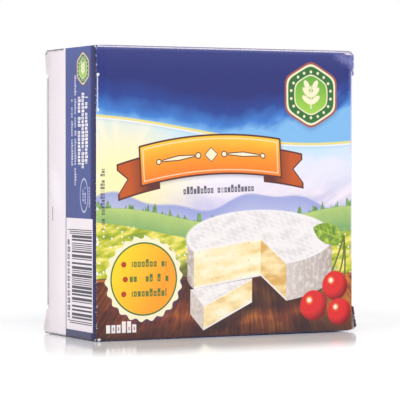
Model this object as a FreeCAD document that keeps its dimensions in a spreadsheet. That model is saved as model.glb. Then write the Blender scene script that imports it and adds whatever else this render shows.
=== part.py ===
import FreeCAD, Part
import math
import os

import Sketcher

"""A shut, square folding carton for a small round cheese, made as one solid.

The board is folded into a tube whose axis runs along X: front, top, back and
bottom panels joined by rounded creases. Each end of the tube is shut by a flap.
The flap hangs on a crease at one upright edge, covers the end, and tucks in
behind the raw edge of the opposite panel. Above and below that tuck, the flap
keeps a short uncreased shoulder, which springs outwards a little. The two ends
are alike under half a turn about Z.

+X is to the right of the front panel, -Y is the front, +Z is up, and the
origin is in the middle of the base. Lengths are in millimetres.
"""

OUT = "parts"
NODE = "carton"

# Driving dimensions. Every sketch and feature below is bound to these cells.
SIZES = [
    ("width", 88.0, "flap face to flap face, along X"),
    ("depth", 37.8, "front to back at the crown of the panels, along Y"),
    ("height", 88.0, "base to the crown of the top panel, along Z"),
    ("board", 0.45, "thickness of the carton board"),
    ("crease", 0.7, "outer radius of a folded crease"),
    ("tuck", 1.2, "outer radius of the crease that tucks in"),
    ("side_crown", 0.3, "how far the front and back panels swell"),
    ("top_crown", 0.5, "how far the top panel swells"),
    ("settle", 0.05, "how much of the lower creases' roundness the base has pressed flat"),
    ("flap_gap", 0.2, "how much a flap stops short of the tube, top and bottom"),
    ("flap_lap", 2.0, "how deep a flap reaches into the tube's solid"),
    ("shoulder", 7.5, "length of a shoulder, along Z"),
    ("shoulder_root", 8.0, "distance over which a shoulder springs, along Y"),
    ("high_flare", 0.5, "how far an upper shoulder springs outwards"),
    ("low_flare", 1.1, "how far a lower shoulder springs outwards"),
    ("clip", 1.2, "corner cut off a shoulder"),
    ("nick_length", 4.3, "slit in the left flap, along Z"),
    ("nick_width", 0.4, "slit in the left flap, along Y"),
    ("nick_deep", 0.3, "how deep the slit goes"),
    ("nick_from_back", 5.4, "slit's distance from the back"),
    ("nick_up", 34.9, "slit's lower end above the base"),
    ("lift", 0.4, "how far the right end of the lower front crease stands up"),
    ("lift_start", 10.0, "how far left of the middle that lift begins"),
    ("cutter", 4.0, "height of the blocks that shape the base"),
]

# Formulas that the sketches share.
END_HALF_DEPTH = "(Sizes.depth / 2 - Sizes.side_crown)"
END_HEIGHT = "(Sizes.height - Sizes.top_crown)"
HALF_WIDTH = "(Sizes.width / 2)"
TUBE_END = "(Sizes.width / 2 - Sizes.crease)"
TUCK_FACE = f"({END_HALF_DEPTH} - Sizes.board)"
SHOULDER_START = f"({END_HALF_DEPTH} - Sizes.shoulder_root)"
FLAP_TOP = f"({END_HEIGHT} - Sizes.flap_gap)"


def make_sheet(doc):
    """Write the driving dimensions into a spreadsheet, one named cell each."""
    sheet = doc.addObject("Spreadsheet::Sheet", "Sizes")
    for row, (name, size, meaning) in enumerate(SIZES, start=1):
        sheet.set(f"A{row}", name)
        sheet.set(f"B{row}", str(size))
        sheet.set(f"C{row}", meaning)
        sheet.setAlias(f"B{row}", name)
    doc.recompute()
    return sheet


def origin_feature(body, role):
    """Find one of the body's own origin planes or axes by its role."""
    return next(item for item in body.Origin.OriginFeatures if item.Role == role)


def bow_radius(chord, rise):
    """Formula for the radius of an arc that rises that far over that chord."""
    return f"(({chord}) ^ 2 / 4 + ({rise}) ^ 2) / (2 * {rise})"


def new_sketch(body, name, plane, offset):
    """Attach an empty sketch to a plane of the body's origin, at an offset."""
    sketch = body.newObject("Sketcher::SketchObject", name)
    sketch.AttachmentSupport = [(origin_feature(body, plane), "")]
    sketch.MapMode = "FlatFace"
    sketch.setExpression("AttachmentOffset.Base.z", offset)
    return sketch


def draw_outline(sheet, sketch, corners, arcs):
    """Draw a closed outline, anticlockwise, with every size bound to the sheet.

    corners is a list of (across, up) formulas. arcs gives, for the edges that
    bow outwards, the radius formula by the number of the corner they start at.
    """
    points = [FreeCAD.Vector(float(sheet.evalExpression(across)), float(sheet.evalExpression(up)), 0)
              for across, up in corners]
    for number, start in enumerate(points):
        end = points[(number + 1) % len(points)]
        if number in arcs:
            radius = float(sheet.evalExpression(arcs[number]))
            chord = end - start
            inward = FreeCAD.Vector(-chord.y, chord.x, 0).normalize()
            centre = start + chord * 0.5 + inward * math.sqrt(radius ** 2 - chord.Length ** 2 / 4)
            first = math.atan2(start.y - centre.y, start.x - centre.x)
            last = math.atan2(end.y - centre.y, end.x - centre.x)
            circle = Part.Circle(centre, FreeCAD.Vector(0, 0, 1), radius)
            sketch.addGeometry(Part.ArcOfCircle(circle, first, last), False)
        else:
            sketch.addGeometry(Part.LineSegment(start, end), False)
    for number in range(len(points)):
        following = (number + 1) % len(points)
        sketch.addConstraint(Sketcher.Constraint("Coincident", number, 2, following, 1))
    for number, (across, up) in enumerate(corners):
        for kind, formula, value in (("DistanceX", across, points[number].x),
                                     ("DistanceY", up, points[number].y)):
            index = sketch.addConstraint(Sketcher.Constraint(kind, -1, 1, number, 1, value))
            sketch.setExpression(f"Constraints[{index}]", formula)
    for number, formula in arcs.items():
        radius = float(sheet.evalExpression(formula))
        index = sketch.addConstraint(Sketcher.Constraint("Radius", number, radius))
        sketch.setExpression(f"Constraints[{index}]", formula)


def tube_section(sheet, body, name, offset, crowned):
    """One cross-section of the tube, seen along X: four panels and four creases."""
    sketch = new_sketch(body, name, "YZ_Plane", offset)
    flat = f"({END_HALF_DEPTH} - Sizes.crease)"
    low = "(Sizes.crease - Sizes.settle)"
    high = f"({END_HEIGHT} - Sizes.crease)"
    corners = [
        (f"-{flat}", "-Sizes.settle"),
        (flat, "-Sizes.settle"),
        (END_HALF_DEPTH, low),
        (END_HALF_DEPTH, high),
        (flat, END_HEIGHT),
        (f"-{flat}", END_HEIGHT),
        (f"-{END_HALF_DEPTH}", high),
        (f"-{END_HALF_DEPTH}", low),
    ]
    arcs = {corner: "Sizes.crease" for corner in (1, 3, 5, 7)}
    if crowned:
        upright = f"{high} - {low}"
        arcs[2] = bow_radius(upright, "Sizes.side_crown")
        arcs[4] = bow_radius(f"2 * {flat}", "Sizes.top_crown")
        arcs[6] = bow_radius(upright, "Sizes.side_crown")
    draw_outline(sheet, sketch, corners, arcs)
    return sketch


def add_tube(sheet, body):
    """The tube: straight at both ends, with its panels swelling in the middle."""
    left = tube_section(sheet, body, "TubeLeftSection", f"-{TUBE_END}", False)
    middle = tube_section(sheet, body, "TubeMiddleSection", "0", True)
    right = tube_section(sheet, body, "TubeRightSection", TUBE_END, False)
    tube = body.newObject("PartDesign::AdditiveLoft", "Tube")
    tube.Profile = left
    tube.Sections = [middle, right]
    tube.Ruled = False
    return tube


def add_flap(sheet, body):
    """The left flap: hung on the front panel, rounded where it tucks in behind."""
    sketch = new_sketch(body, "FlapOutline", "XY_Plane", "Sizes.flap_gap")
    lap = f"-({HALF_WIDTH} - Sizes.flap_lap)"
    corners = [
        (lap, f"-({END_HALF_DEPTH} - Sizes.flap_lap)"),
        (lap, TUCK_FACE),
        (f"-({HALF_WIDTH} - Sizes.tuck)", TUCK_FACE),
        (f"-{HALF_WIDTH}", f"{TUCK_FACE} - Sizes.tuck"),
        (f"-{HALF_WIDTH}", f"-({END_HALF_DEPTH} - Sizes.crease)"),
        (f"-{TUBE_END}", f"-{END_HALF_DEPTH}"),
    ]
    draw_outline(sheet, sketch, corners, {2: "Sizes.tuck", 4: "Sizes.crease"})
    flap = body.newObject("PartDesign::Pad", "Flap")
    flap.Profile = sketch
    flap.setExpression("Length", f"{FLAP_TOP} - Sizes.flap_gap")
    return flap


def shoulder_section(sheet, body, name, level, reach, flare):
    """The board of a shoulder, seen from above, at one height."""
    sketch = new_sketch(body, name, "XY_Plane", level)
    inner = f"-({HALF_WIDTH} - Sizes.board)"
    outer = f"-{HALF_WIDTH}"
    corners = [
        (inner, SHOULDER_START),
        (f"{inner} - {flare}", reach),
        (f"{outer} - {flare}", reach),
        (outer, SHOULDER_START),
    ]
    draw_outline(sheet, sketch, corners, {})
    return sketch


def add_shoulder(sheet, body, name, edge, inwards, flare):
    """A shoulder of the left flap, from its flat root to its clipped, sprung tip.

    edge is the formula of the flap's upper or lower edge, where the tip is.
    inwards is the sign, "+" or "-", that leads from there along the flap.
    flare is the formula of how far the tip springs outwards.
    """
    root = f"({edge} {inwards} Sizes.shoulder)"
    corner = f"({edge} {inwards} Sizes.clip)"
    clipped_reach = f"({END_HALF_DEPTH} - Sizes.clip)"
    clipped_flare = f"({flare} * (1 - Sizes.clip / Sizes.shoulder_root))"
    flat = shoulder_section(sheet, body, f"{name}Root", root, END_HALF_DEPTH, "0")
    sprung = shoulder_section(sheet, body, f"{name}Sprung", corner, END_HALF_DEPTH, flare)
    clipped = shoulder_section(sheet, body, f"{name}Tip", edge, clipped_reach, clipped_flare)
    shoulder = body.newObject("PartDesign::AdditiveLoft", name)
    shoulder.Profile = flat
    shoulder.Sections = [sprung, clipped]
    shoulder.Ruled = True
    return shoulder


def add_other_end(body, features):
    """Repeat the left end's features at the right, half a turn about Z."""
    pattern = body.newObject("PartDesign::PolarPattern", "OtherEnd")
    pattern.Originals = features
    pattern.Axis = (origin_feature(body, "Z_Axis"), [""])
    pattern.Angle = 360
    pattern.Occurrences = 2
    body.Tip = pattern
    return pattern


def add_nick(sheet, body):
    """The short slit in the left flap, near the back."""
    sketch = new_sketch(body, "NickOutline", "YZ_Plane", f"-{HALF_WIDTH}")
    far = "(Sizes.depth / 2 - Sizes.nick_from_back)"
    near = f"({far} - Sizes.nick_width)"
    top = "(Sizes.nick_up + Sizes.nick_length)"
    corners = [(near, "Sizes.nick_up"), (far, "Sizes.nick_up"), (far, top), (near, top)]
    draw_outline(sheet, sketch, corners, {})
    nick = body.newObject("PartDesign::Pocket", "Nick")
    nick.Profile = sketch
    nick.setExpression("Length", "Sizes.nick_deep")
    nick.Reversed = True
    body.Tip = nick
    return nick


def add_base(sheet, body):
    """Press the lower creases flat where they rest, so that the base is one true plane."""
    base = body.newObject("PartDesign::SubtractiveBox", "Base")
    base.Placement.Base = FreeCAD.Vector(-sheet.width, -sheet.depth, -sheet.cutter)
    base.setExpression("Length", "2 * Sizes.width")
    base.setExpression("Width", "2 * Sizes.depth")
    base.setExpression("Height", "Sizes.cutter")
    body.Tip = base
    return base


def add_lifted_corner(sheet, body):
    """Shave the base so that the lower front crease stands up at its right end.

    The shaved face turns about the line from where the lift begins on the front
    crease to the far right corner of the base, which stays flat.
    """
    half_width = sheet.width / 2
    half_depth = sheet.depth / 2
    run = half_width + sheet.lift_start
    line = FreeCAD.Vector(run, 2 * half_depth, 0)
    corner_distance = run * 2 * half_depth / line.Length
    start = FreeCAD.Vector(-sheet.lift_start, -half_depth, 0)
    turn = FreeCAD.Rotation(FreeCAD.Vector(0, 0, 1), math.degrees(math.atan2(line.y, line.x)))
    tilt = FreeCAD.Rotation(FreeCAD.Vector(1, 0, 0), -math.degrees(math.atan2(sheet.lift, corner_distance)))
    shift = FreeCAD.Vector(-half_width, -2 * half_width, -sheet.cutter)
    cutter = body.newObject("PartDesign::SubtractiveBox", "LiftedCorner")
    cutter.Placement = FreeCAD.Placement(start, turn * tilt) * FreeCAD.Placement(shift, FreeCAD.Rotation())
    cutter.setExpression("Length", "3 * Sizes.width")
    cutter.setExpression("Width", "Sizes.width")
    cutter.setExpression("Height", "Sizes.cutter")
    body.Tip = cutter
    return cutter


def build(doc):
    """Make the carton's body, feature by feature."""
    sheet = make_sheet(doc)
    body = doc.addObject("PartDesign::Body", "Carton")
    body.Label = NODE
    body.Placement = FreeCAD.Placement()
    tube = add_tube(sheet, body)
    flap = add_flap(sheet, body)
    upper = add_shoulder(sheet, body, "UpperShoulder", FLAP_TOP, "-", "Sizes.high_flare")
    lower = add_shoulder(sheet, body, "LowerShoulder", "Sizes.flap_gap", "+", "Sizes.low_flare")
    doc.recompute()
    other_end = add_other_end(body, [flap, upper, lower])
    doc.recompute()
    nick = add_nick(sheet, body)
    doc.recompute()
    base = add_base(sheet, body)
    doc.recompute()
    lifted = add_lifted_corner(sheet, body)
    doc.recompute()
    for feature in (tube, flap, upper, lower, other_end, nick, base, lifted):
        print(f"{feature.Name}: {feature.Shape.Volume:.2f} mm3, valid {feature.Shape.isValid()}")
    return body


def check(doc, body):
    """Stop if any object failed, or if the carton isn't one valid solid."""
    for item in doc.Objects:
        if "Invalid" in item.State or "Error" in item.State:
            raise RuntimeError(f"{item.Name} failed: {item.State}")
    shape = body.Shape
    if shape.isNull() or not shape.isValid() or len(shape.Solids) != 1:
        raise RuntimeError(f"{body.Label} isn't one valid solid")


def main():
    doc = FreeCAD.newDocument("CheeseCarton")
    body = build(doc)
    check(doc, body)
    os.makedirs(OUT, exist_ok=True)
    body.Shape.exportStep(os.path.join(OUT, f"{body.Label}.step"))
    box = body.Shape.optimalBoundingBox(True, False)
    print(f"{body.Label}: {box.XLength:.2f} x {box.YLength:.2f} x {box.ZLength:.2f} mm, base at {box.ZMin:.3f}")


main()
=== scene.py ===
"""The looks of a shut, square folding carton for a small round cheese.

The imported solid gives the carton's outer size. The board is modelled here the
way the blank folds: front, top, back and base panels round a tube, and an end
flap hung on the front panel and another on the back panel, each tucked in
behind the raw edge opposite it. The print is laid out in millimetres, in
motifs that draw themselves on a panel through nodes.

Lengths are in metres unless a name ends in _mm; on a print they are always
millimetres.
"""

import abc
import enum
import logging
import math
from dataclasses import dataclass
from typing import Callable, Optional, Protocol, Sequence, Union

import bmesh
import bpy
from mathutils import Matrix, Vector, noise


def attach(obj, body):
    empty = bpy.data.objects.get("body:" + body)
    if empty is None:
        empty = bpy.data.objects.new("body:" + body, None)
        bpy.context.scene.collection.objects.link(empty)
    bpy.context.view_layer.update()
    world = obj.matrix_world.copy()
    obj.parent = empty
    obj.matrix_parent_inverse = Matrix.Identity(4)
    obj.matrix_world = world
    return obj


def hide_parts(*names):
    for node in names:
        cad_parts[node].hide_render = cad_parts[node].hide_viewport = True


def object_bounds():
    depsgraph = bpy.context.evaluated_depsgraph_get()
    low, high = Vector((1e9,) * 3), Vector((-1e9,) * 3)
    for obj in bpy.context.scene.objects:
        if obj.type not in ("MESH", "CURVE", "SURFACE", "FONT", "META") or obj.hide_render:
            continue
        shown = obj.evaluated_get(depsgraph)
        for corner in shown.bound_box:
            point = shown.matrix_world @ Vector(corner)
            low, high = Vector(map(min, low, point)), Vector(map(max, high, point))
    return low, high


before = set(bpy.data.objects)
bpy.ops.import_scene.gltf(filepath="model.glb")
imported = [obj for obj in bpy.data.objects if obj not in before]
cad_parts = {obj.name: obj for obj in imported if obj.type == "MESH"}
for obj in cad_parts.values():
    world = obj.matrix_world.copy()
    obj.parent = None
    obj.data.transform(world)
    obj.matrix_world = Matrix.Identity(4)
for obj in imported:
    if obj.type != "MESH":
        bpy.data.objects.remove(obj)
CAD_LOW, CAD_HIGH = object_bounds()

LOG = logging.getLogger("carton")
MM = 0.001
BODY = "root"
NODE = "carton"
RIGHTWARDS, BACKWARDS, UPWARDS = Vector((1, 0, 0)), Vector((0, 1, 0)), Vector((0, 0, 1))

# The panels' sizes on the print, and how softly its ink ends, in millimetres.
WIDE_MM = 88.0
DEEP_MM = 37.8
HIGH_MM = 88.0
SOFT_MM = 0.16


# --- Colours -----------------------------------------------------------------


def linear(channel: float) -> float:
    """Turn an sRGB channel, 0 to 1, into a linear one.

    Args:
        channel: The encoded value.

    Returns:
        The value that light adds up in.
    """
    return channel / 12.92 if channel <= 0.04045 else ((channel + 0.055) / 1.055) ** 2.4


class Ink(enum.Enum):
    """The colours of the board and of its print, and of the painted shade, shadows, sheen and highlights
    laid over them, as 8-bit sRGB.
    """

    # White board; also the painted highlights.
    BOARD_AND_HIGHLIGHT = (249, 244, 246)
    STRIP = (239, 229, 234)
    STRIP_SHADE = (222, 213, 219)
    # Raw board; also the painted grey shade on the left flap's bare strip.
    RAW_EDGE_AND_SHADE = (206, 200, 200)
    NIGHT = (28, 39, 116)
    BLUE = (30, 62, 146)
    AZURE = (60, 124, 206)
    HAZE = (128, 186, 236)
    PALE_SKY = (190, 226, 248)
    MIST = (232, 231, 247)
    ROSE_MIST = (241, 231, 242)
    LILAC = (172, 172, 228)
    VIOLET = (140, 148, 212)
    SUNLIGHT = (255, 244, 182)
    GOLD_LINE = (236, 222, 132)
    FAR_HILL = (146, 156, 214)
    FAR_HAZE = (200, 204, 236)
    HILL = (128, 172, 104)
    HILL_LIGHT = (196, 214, 124)
    TREE = (96, 134, 62)
    MEADOW = (182, 190, 44)
    MEADOW_LIGHT = (240, 228, 112)
    MEADOW_DARK = (134, 158, 40)
    WOOD = (134, 62, 36)
    WOOD_LIGHT = (206, 124, 48)
    WOOD_DARK = (74, 28, 26)
    WOOD_SHADE = (38, 20, 28)
    RIND = (242, 237, 237)
    RIND_GREY = (226, 219, 220)
    RIND_SIDE = (216, 205, 199)
    RIND_SHADE = (178, 161, 154)
    PASTE = (248, 226, 172)
    PASTE_LIGHT = (253, 243, 214)
    PASTE_DEEP = (220, 172, 92)
    CHERRY = (222, 34, 38)
    CHERRY_DARK = (128, 8, 24)
    LEAF = (122, 158, 34)
    LEAF_LIGHT = (186, 208, 86)
    STEM = (98, 112, 42)
    SEAL_YELLOW = (254, 214, 26)
    SEAL_ORANGE = (251, 160, 34)
    SEAL_MARK = (176, 60, 20)
    CREAM = (246, 238, 204)
    BADGE_RIM = (164, 84, 72)
    BADGE_DEEP = (42, 108, 46)
    BADGE_MIDDLE = (96, 166, 54)
    BADGE_LIGHT = (166, 210, 78)
    RIBBON_TOP = (250, 206, 62)
    RIBBON_LOW = (243, 118, 30)
    RIBBON_BACK = (196, 86, 26)
    RIBBON_LINE = (92, 40, 34)
    TYPE = (50, 50, 82)
    TYPE_PALE = (206, 208, 238)
    # Stripes and dark type; also the painted shadow lines on the left flap and along the front's foot.
    BARS_AND_SHADOW = (40, 36, 58)
    SHADOW = (60, 50, 110)
    DUSK = (26, 18, 72)
    # Used only for the painted sheen along the crease between the front and the top.
    MAUVE = (146, 136, 164)

    def rgba(self) -> tuple[float, float, float, float]:
        """Give the colour as linear red, green and blue, with a full alpha."""
        red, green, blue = (linear(channel / 255) for channel in self.value)
        return (red, green, blue, 1.0)


# --- Nodes, written as sums ----------------------------------------------------


Amount = Union["Field", float]


class Field:
    """One number at each point of a surface, worked out by nodes."""

    def __init__(self, press: "Press", socket: bpy.types.NodeSocket) -> None:
        """Keep the press that the number belongs to, and the socket that gives it."""
        self.press = press
        self.socket = socket

    def __add__(self, other: Amount) -> "Field":
        """Add a number."""
        return self.press.math("ADD", self, other)

    __radd__ = __add__

    def __sub__(self, other: Amount) -> "Field":
        """Take a number away."""
        return self.press.math("SUBTRACT", self, other)

    def __rsub__(self, other: Amount) -> "Field":
        """Take this away from a number."""
        return self.press.math("SUBTRACT", other, self)

    def __mul__(self, other: Amount) -> "Field":
        """Multiply by a number."""
        return self.press.math("MULTIPLY", self, other)

    __rmul__ = __mul__

    def __truediv__(self, other: Amount) -> "Field":
        """Divide by a number."""
        return self.press.math("DIVIDE", self, other)

    def __abs__(self) -> "Field":
        """Drop the sign."""
        return self.press.math("ABSOLUTE", self)

    def most(self, other: Amount) -> "Field":
        """The larger of two numbers; for two shapes, what lies in both."""
        return self.press.math("MAXIMUM", self, other)

    def least(self, other: Amount) -> "Field":
        """The smaller of two numbers; for two shapes, what lies in either."""
        return self.press.math("MINIMUM", self, other)

    def rounded(self, other: Amount, radius: float) -> "Field":
        """What lies in both of two shapes, with the corner between them rounded."""
        return self.press.math("SMOOTH_MAX", self, other, radius)

    def without(self, other: "Field") -> "Field":
        """What lies in this shape and outside the other."""
        return self.most(other * -1.0)

    def wave(self) -> "Field":
        """The sine, of an angle in radians."""
        return self.press.math("SINE", self)

    def whole(self) -> "Field":
        """Round down to a whole number."""
        return self.press.math("FLOOR", self)

    def part(self) -> "Field":
        """What rounding down leaves."""
        return self.press.math("FRACT", self)

    def rise(self, start: float, end: float) -> "Field":
        """Go smoothly from 0 at start to 1 at end, whichever of them is larger."""
        settings = {"interpolation_type": "SMOOTHSTEP", "clamp": False}
        return self.press.node("MapRange", settings, (self, start, end))

    def span(self, start: float, end: float) -> "Field":
        """Go evenly from 0 at start to 1 at end, and no further."""
        return self.press.node("MapRange", {}, (self, start, end))

    def inside(self, soft: float = SOFT_MM) -> "Field":
        """1 where a distance is inside a shape and 0 outside, over a soft edge."""
        return self.rise(soft / 2, -soft / 2)

    def line(self, width: float, soft: float = SOFT_MM) -> "Field":
        """1 along a shape's outline, for a line of that width."""
        return (abs(self) - width / 2).inside(soft)

    def ripple(self, detail: float = 2.0) -> "Field":
        """Uneven noise about 0.5, one swell for each whole number."""
        inputs = {"W": self, "Scale": 1.0, "Detail": detail}
        return self.press.node("TexNoise", {"noise_dimensions": "1D"}, inputs)

    def chance(self) -> "Field":
        """A random number, 0 to 1, for each different number."""
        return self.press.node("TexWhiteNoise", {"noise_dimensions": "1D"}, {"W": self})


class Place:
    """Where each point of a surface lies on its print, across and up from some middle.

    A cast of the print's own two numbers, which is worked out beforehand, so
    moving about the print adds no nodes until a number is asked for.
    """

    # A direction's share smaller than this adds no node.
    NOTHING = 1e-7

    def __init__(self, press: "Press", point: Field, across: Field, up: Field,
                 cast: Optional[Matrix] = None) -> None:
        """Keep what a place is made of.

        Args:
            press: The press that draws here.
            point: The print's own vector.
            across: Its first number.
            up: Its second.
            cast: This place's cast of the two, none for the print itself.
        """
        self.press = press
        self.point = point
        self.roots = (across, up)
        self.cast = cast or Matrix.Identity(3)
        self._known: dict[int, Field] = {}

    def at(self, across: float, up: float, turn: float = 0.0, wide: float = 1.0,
           high: float = 1.0) -> "Place":
        """Move the middle, then turn and scale about it.

        Args:
            across: The new middle, across.
            up: The new middle, up.
            turn: Anticlockwise turn of the new axes, in degrees.
            wide: What counts as 1 across.
            high: What counts as 1 up.

        Returns:
            The same points, seen from the new middle.
        """
        cos, sin = math.cos(math.radians(turn)), math.sin(math.radians(turn))
        placed = Matrix(((cos * wide, -sin * high, across), (sin * wide, cos * high, up), (0, 0, 1)))
        return Place(self.press, self.point, *self.roots, placed.inverted() @ self.cast)

    def bent(self, across: Field, up: Field) -> "Place":
        """Give a place whose two numbers are worked out already."""
        return Place(self.press, self.point, across, up)

    def edge(self, across: float, up: float, start: float = 0.0) -> Field:
        """Distance along a direction, beyond a start.

        Args:
            across: How far the direction goes across.
            up: How far it goes up.
            start: Where the distance is 0.

        Returns:
            The distance, negative before the start.
        """
        row = Vector((across, up, 0)) @ self.cast
        total: Amount = row[2] - start
        for root, share in zip(self.roots, row[:2]):
            if abs(share) > self.NOTHING:
                total = self.press.math("MULTIPLY_ADD", root, share, total)
        return total

    def _axis(self, index: int) -> Field:
        """Work out one of the two numbers, once.

        Args:
            index: 0 for across, 1 for up.

        Returns:
            The number.
        """
        if index not in self._known:
            plain = self.cast == Matrix.Identity(3)
            self._known[index] = self.roots[index] if plain else self.edge(1 - index, index)
        return self._known[index]

    @property
    def across(self) -> Field:
        """Distance to the right of this place's middle."""
        return self._axis(0)

    @property
    def up(self) -> Field:
        """Distance above this place's middle."""
        return self._axis(1)

    def reach(self) -> Field:
        """Distance from the middle."""
        both = self.press.node("CombineXYZ", {}, (self.across, self.up, 0.0))
        node = self.press.node("VectorMath", {"operation": "LENGTH"}, (both,)).socket.node
        return Field(self.press, node.outputs["Value"])

    def bearing(self) -> Field:
        """Angle about the middle, anticlockwise from the right, in radians."""
        return self.press.math("ARCTAN2", self.up, self.across)

    def mottle(self, size: float, detail: float = 2.0, roughness: float = 0.5, stretch: float = 1.0,
               turn: float = 0.0, drift: Optional[Field] = None) -> Field:
        """Cloudy noise about 0.5, in the print's own place.

        Args:
            size: How big its patches are.
            detail: How many finer layers it has.
            roughness: How strong those are.
            stretch: How much longer than high the patches are.
            turn: Anticlockwise turn of their length, in degrees.
            drift: A number that the noise also changes with.

        Returns:
            The noise.
        """
        scale = (size * stretch, size, 1.0)
        inputs = (self.point, (0.0, 0.0, 0.0), (0.0, 0.0, math.radians(turn)), scale)
        cells = self.press.node("Mapping", {"vector_type": "TEXTURE"}, inputs)
        values = {"Vector": cells, "Scale": 1.0, "Detail": detail, "Roughness": roughness}
        if drift is not None:
            values["W"] = drift
        return self.press.node("TexNoise", {"noise_dimensions": "2D" if drift is None else "4D"}, values)


class Pigment:
    """A colour at each point of a surface, which more ink can be laid over."""

    def __init__(self, press: "Press", socket: bpy.types.NodeSocket) -> None:
        """Keep the press, and the socket that gives the colour."""
        self.press = press
        self.socket = socket

    def lay(self, ink: Union[Ink, "Pigment"], where: Amount) -> "Pigment":
        """Lay an ink over this one: wholly where a number is 1, not at all where it is 0."""
        return self.press.mix(where, self, ink)


Reading = Union[Field, Pigment, Ink, float, tuple]


class Press:
    """One material, with short ways to add the nodes that a print is made of.

    Nodes are worked out in the order they are added, and few numbers can be
    held at once, so each motif adds its mask just before it is laid.
    """

    def __init__(self, name: str) -> None:
        """Start an empty material with a Principled surface.

        Args:
            name: The material's name.
        """
        self.material = bpy.data.materials.new(name)
        self.material.use_nodes = True
        self.nodes = self.material.node_tree.nodes
        self.links = self.material.node_tree.links
        self.surface = self.nodes["Principled BSDF"]

    def feed(self, socket: bpy.types.NodeSocket, value: Reading) -> None:
        """Give a socket what it reads: a field or pigment by a link, a constant by value.

        Args:
            socket: An input of some node.
            value: What it reads.
        """
        if isinstance(value, (Field, Pigment)):
            self.links.new(value.socket, socket)
        elif isinstance(value, Ink):
            socket.default_value = value.rgba()
        else:
            socket.default_value = value

    def node(self, kind: str, settings: dict[str, object],
             inputs: Union[Sequence[Reading], dict[str, Reading]]) -> Field:
        """Add a node.

        Args:
            kind: The shader node's type, without its prefix.
            settings: Its properties.
            inputs: What its sockets read, in order or by name.

        Returns:
            Its first output.
        """
        node = self.nodes.new("ShaderNode" + kind)
        for name, value in settings.items():
            setattr(node, name, value)
        named = inputs.items() if isinstance(inputs, dict) else enumerate(inputs)
        for key, value in named:
            self.feed(node.inputs[key], value)
        return Field(self, node.outputs[0])

    def math(self, operation: str, *values: Amount) -> Field:
        """Work out one sum of up to three numbers."""
        return self.node("Math", {"operation": operation}, values)

    def mix(self, where: Amount, under: Union[Ink, Pigment], over: Union[Ink, Pigment]) -> Pigment:
        """Mix two colours.

        Args:
            where: The share of the upper one.
            under: The lower colour.
            over: The upper colour.

        Returns:
            The two together.
        """
        node = self.nodes.new("ShaderNodeMix")
        node.data_type = "RGBA"
        for name, value in (("Factor_Float", where), ("A_Color", under), ("B_Color", over)):
            self.feed(next(socket for socket in node.inputs if socket.identifier == name), value)
        result = next(socket for socket in node.outputs if socket.identifier == "Result_Color")
        return Pigment(self, result)

    def blend(self, amount: Field, *stops: tuple[float, Ink]) -> Pigment:
        """Run through a row of inks.

        Args:
            amount: The number that chooses among them.
            stops: The amount at which each is reached, and the ink.

        Returns:
            The colour.
        """
        node = self.nodes.new("ShaderNodeValToRGB")
        self.links.new(amount.socket, node.inputs[0])
        elements = node.color_ramp.elements
        while len(elements) < len(stops):
            elements.new(1.0)
        for element, (position, ink) in zip(elements, stops):
            element.position = position
            element.color = ink.rgba()
        return Pigment(self, node.outputs[0])

    def stored(self, name: str) -> Field:
        """Read a number that is stored at each point of the mesh."""
        node = self.nodes.new("ShaderNodeAttribute")
        node.attribute_name = name
        return Field(self, node.outputs["Fac"])

    def object_point(self, turn: tuple[float, float, float] = (0.0, 0.0, 0.0),
                     start: tuple[float, float] = (0.0, 0.0)) -> Field:
        """The point of the object in millimetres, turned, then moved.

        Args:
            turn: Turns about the three axes in order, in degrees.
            start: How far it is then moved.

        Returns:
            The point, as a vector.
        """
        coordinates = self.nodes.new("ShaderNodeTexCoord")
        inputs = (Field(self, coordinates.outputs["Object"]), (start[0], start[1], 0.0),
                  tuple(math.radians(part) for part in turn), (1 / MM, 1 / MM, 1 / MM))
        return self.node("Mapping", {"vector_type": "POINT"}, inputs)


# --- Shapes as distances, negative inside ------------------------------------------


def disc(place: Place, radius: float) -> Field:
    """Distance from a disc about the place's middle."""
    return place.reach() - radius


def oval(place: Place, wide: float, high: float) -> Field:
    """Distance from an oval about the place's middle, true only near its edge."""
    return (place.at(0, 0, 0, wide, high).reach() - 1.0) * min(wide, high)


def slab(place: Place, wide: float, high: float, corner: float = 0.0) -> Field:
    """Distance from a bar of that half width and half height."""
    across = abs(place.across) - wide
    up = abs(place.up) - high
    return across.rounded(up, corner) if corner else across.most(up)


def polygon(place: Place, *corners: tuple[float, float]) -> Field:
    """Distance from a convex outline.

    Args:
        place: The place to draw in.
        corners: The outline's corners, anticlockwise.

    Returns:
        The distance.
    """
    shape: Optional[Field] = None
    for (start_across, start_up), (end_across, end_up) in zip(corners, corners[1:] + corners[:1]):
        run, climb = end_across - start_across, end_up - start_up
        length = math.hypot(run, climb)
        out_across, out_up = climb / length, -run / length
        edge = place.edge(out_across, out_up, out_across * start_across + out_up * start_up)
        shape = edge if shape is None else shape.most(edge)
    return shape


# --- Motifs ------------------------------------------------------------------


class Motif(Protocol):
    """Anything that can be laid over a picture."""

    def draw(self, under: Pigment, place: Place) -> Pigment:
        """Lay the motif."""


@dataclass(frozen=True)
class Lettering:
    """The size, spacing and ink of rows of blocks; gaps is the share of them that is left out."""

    pitch: float
    letter: float
    height: float
    ink: Ink = Ink.TYPE
    strength: float = 0.9
    gaps: float = 0.17


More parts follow.
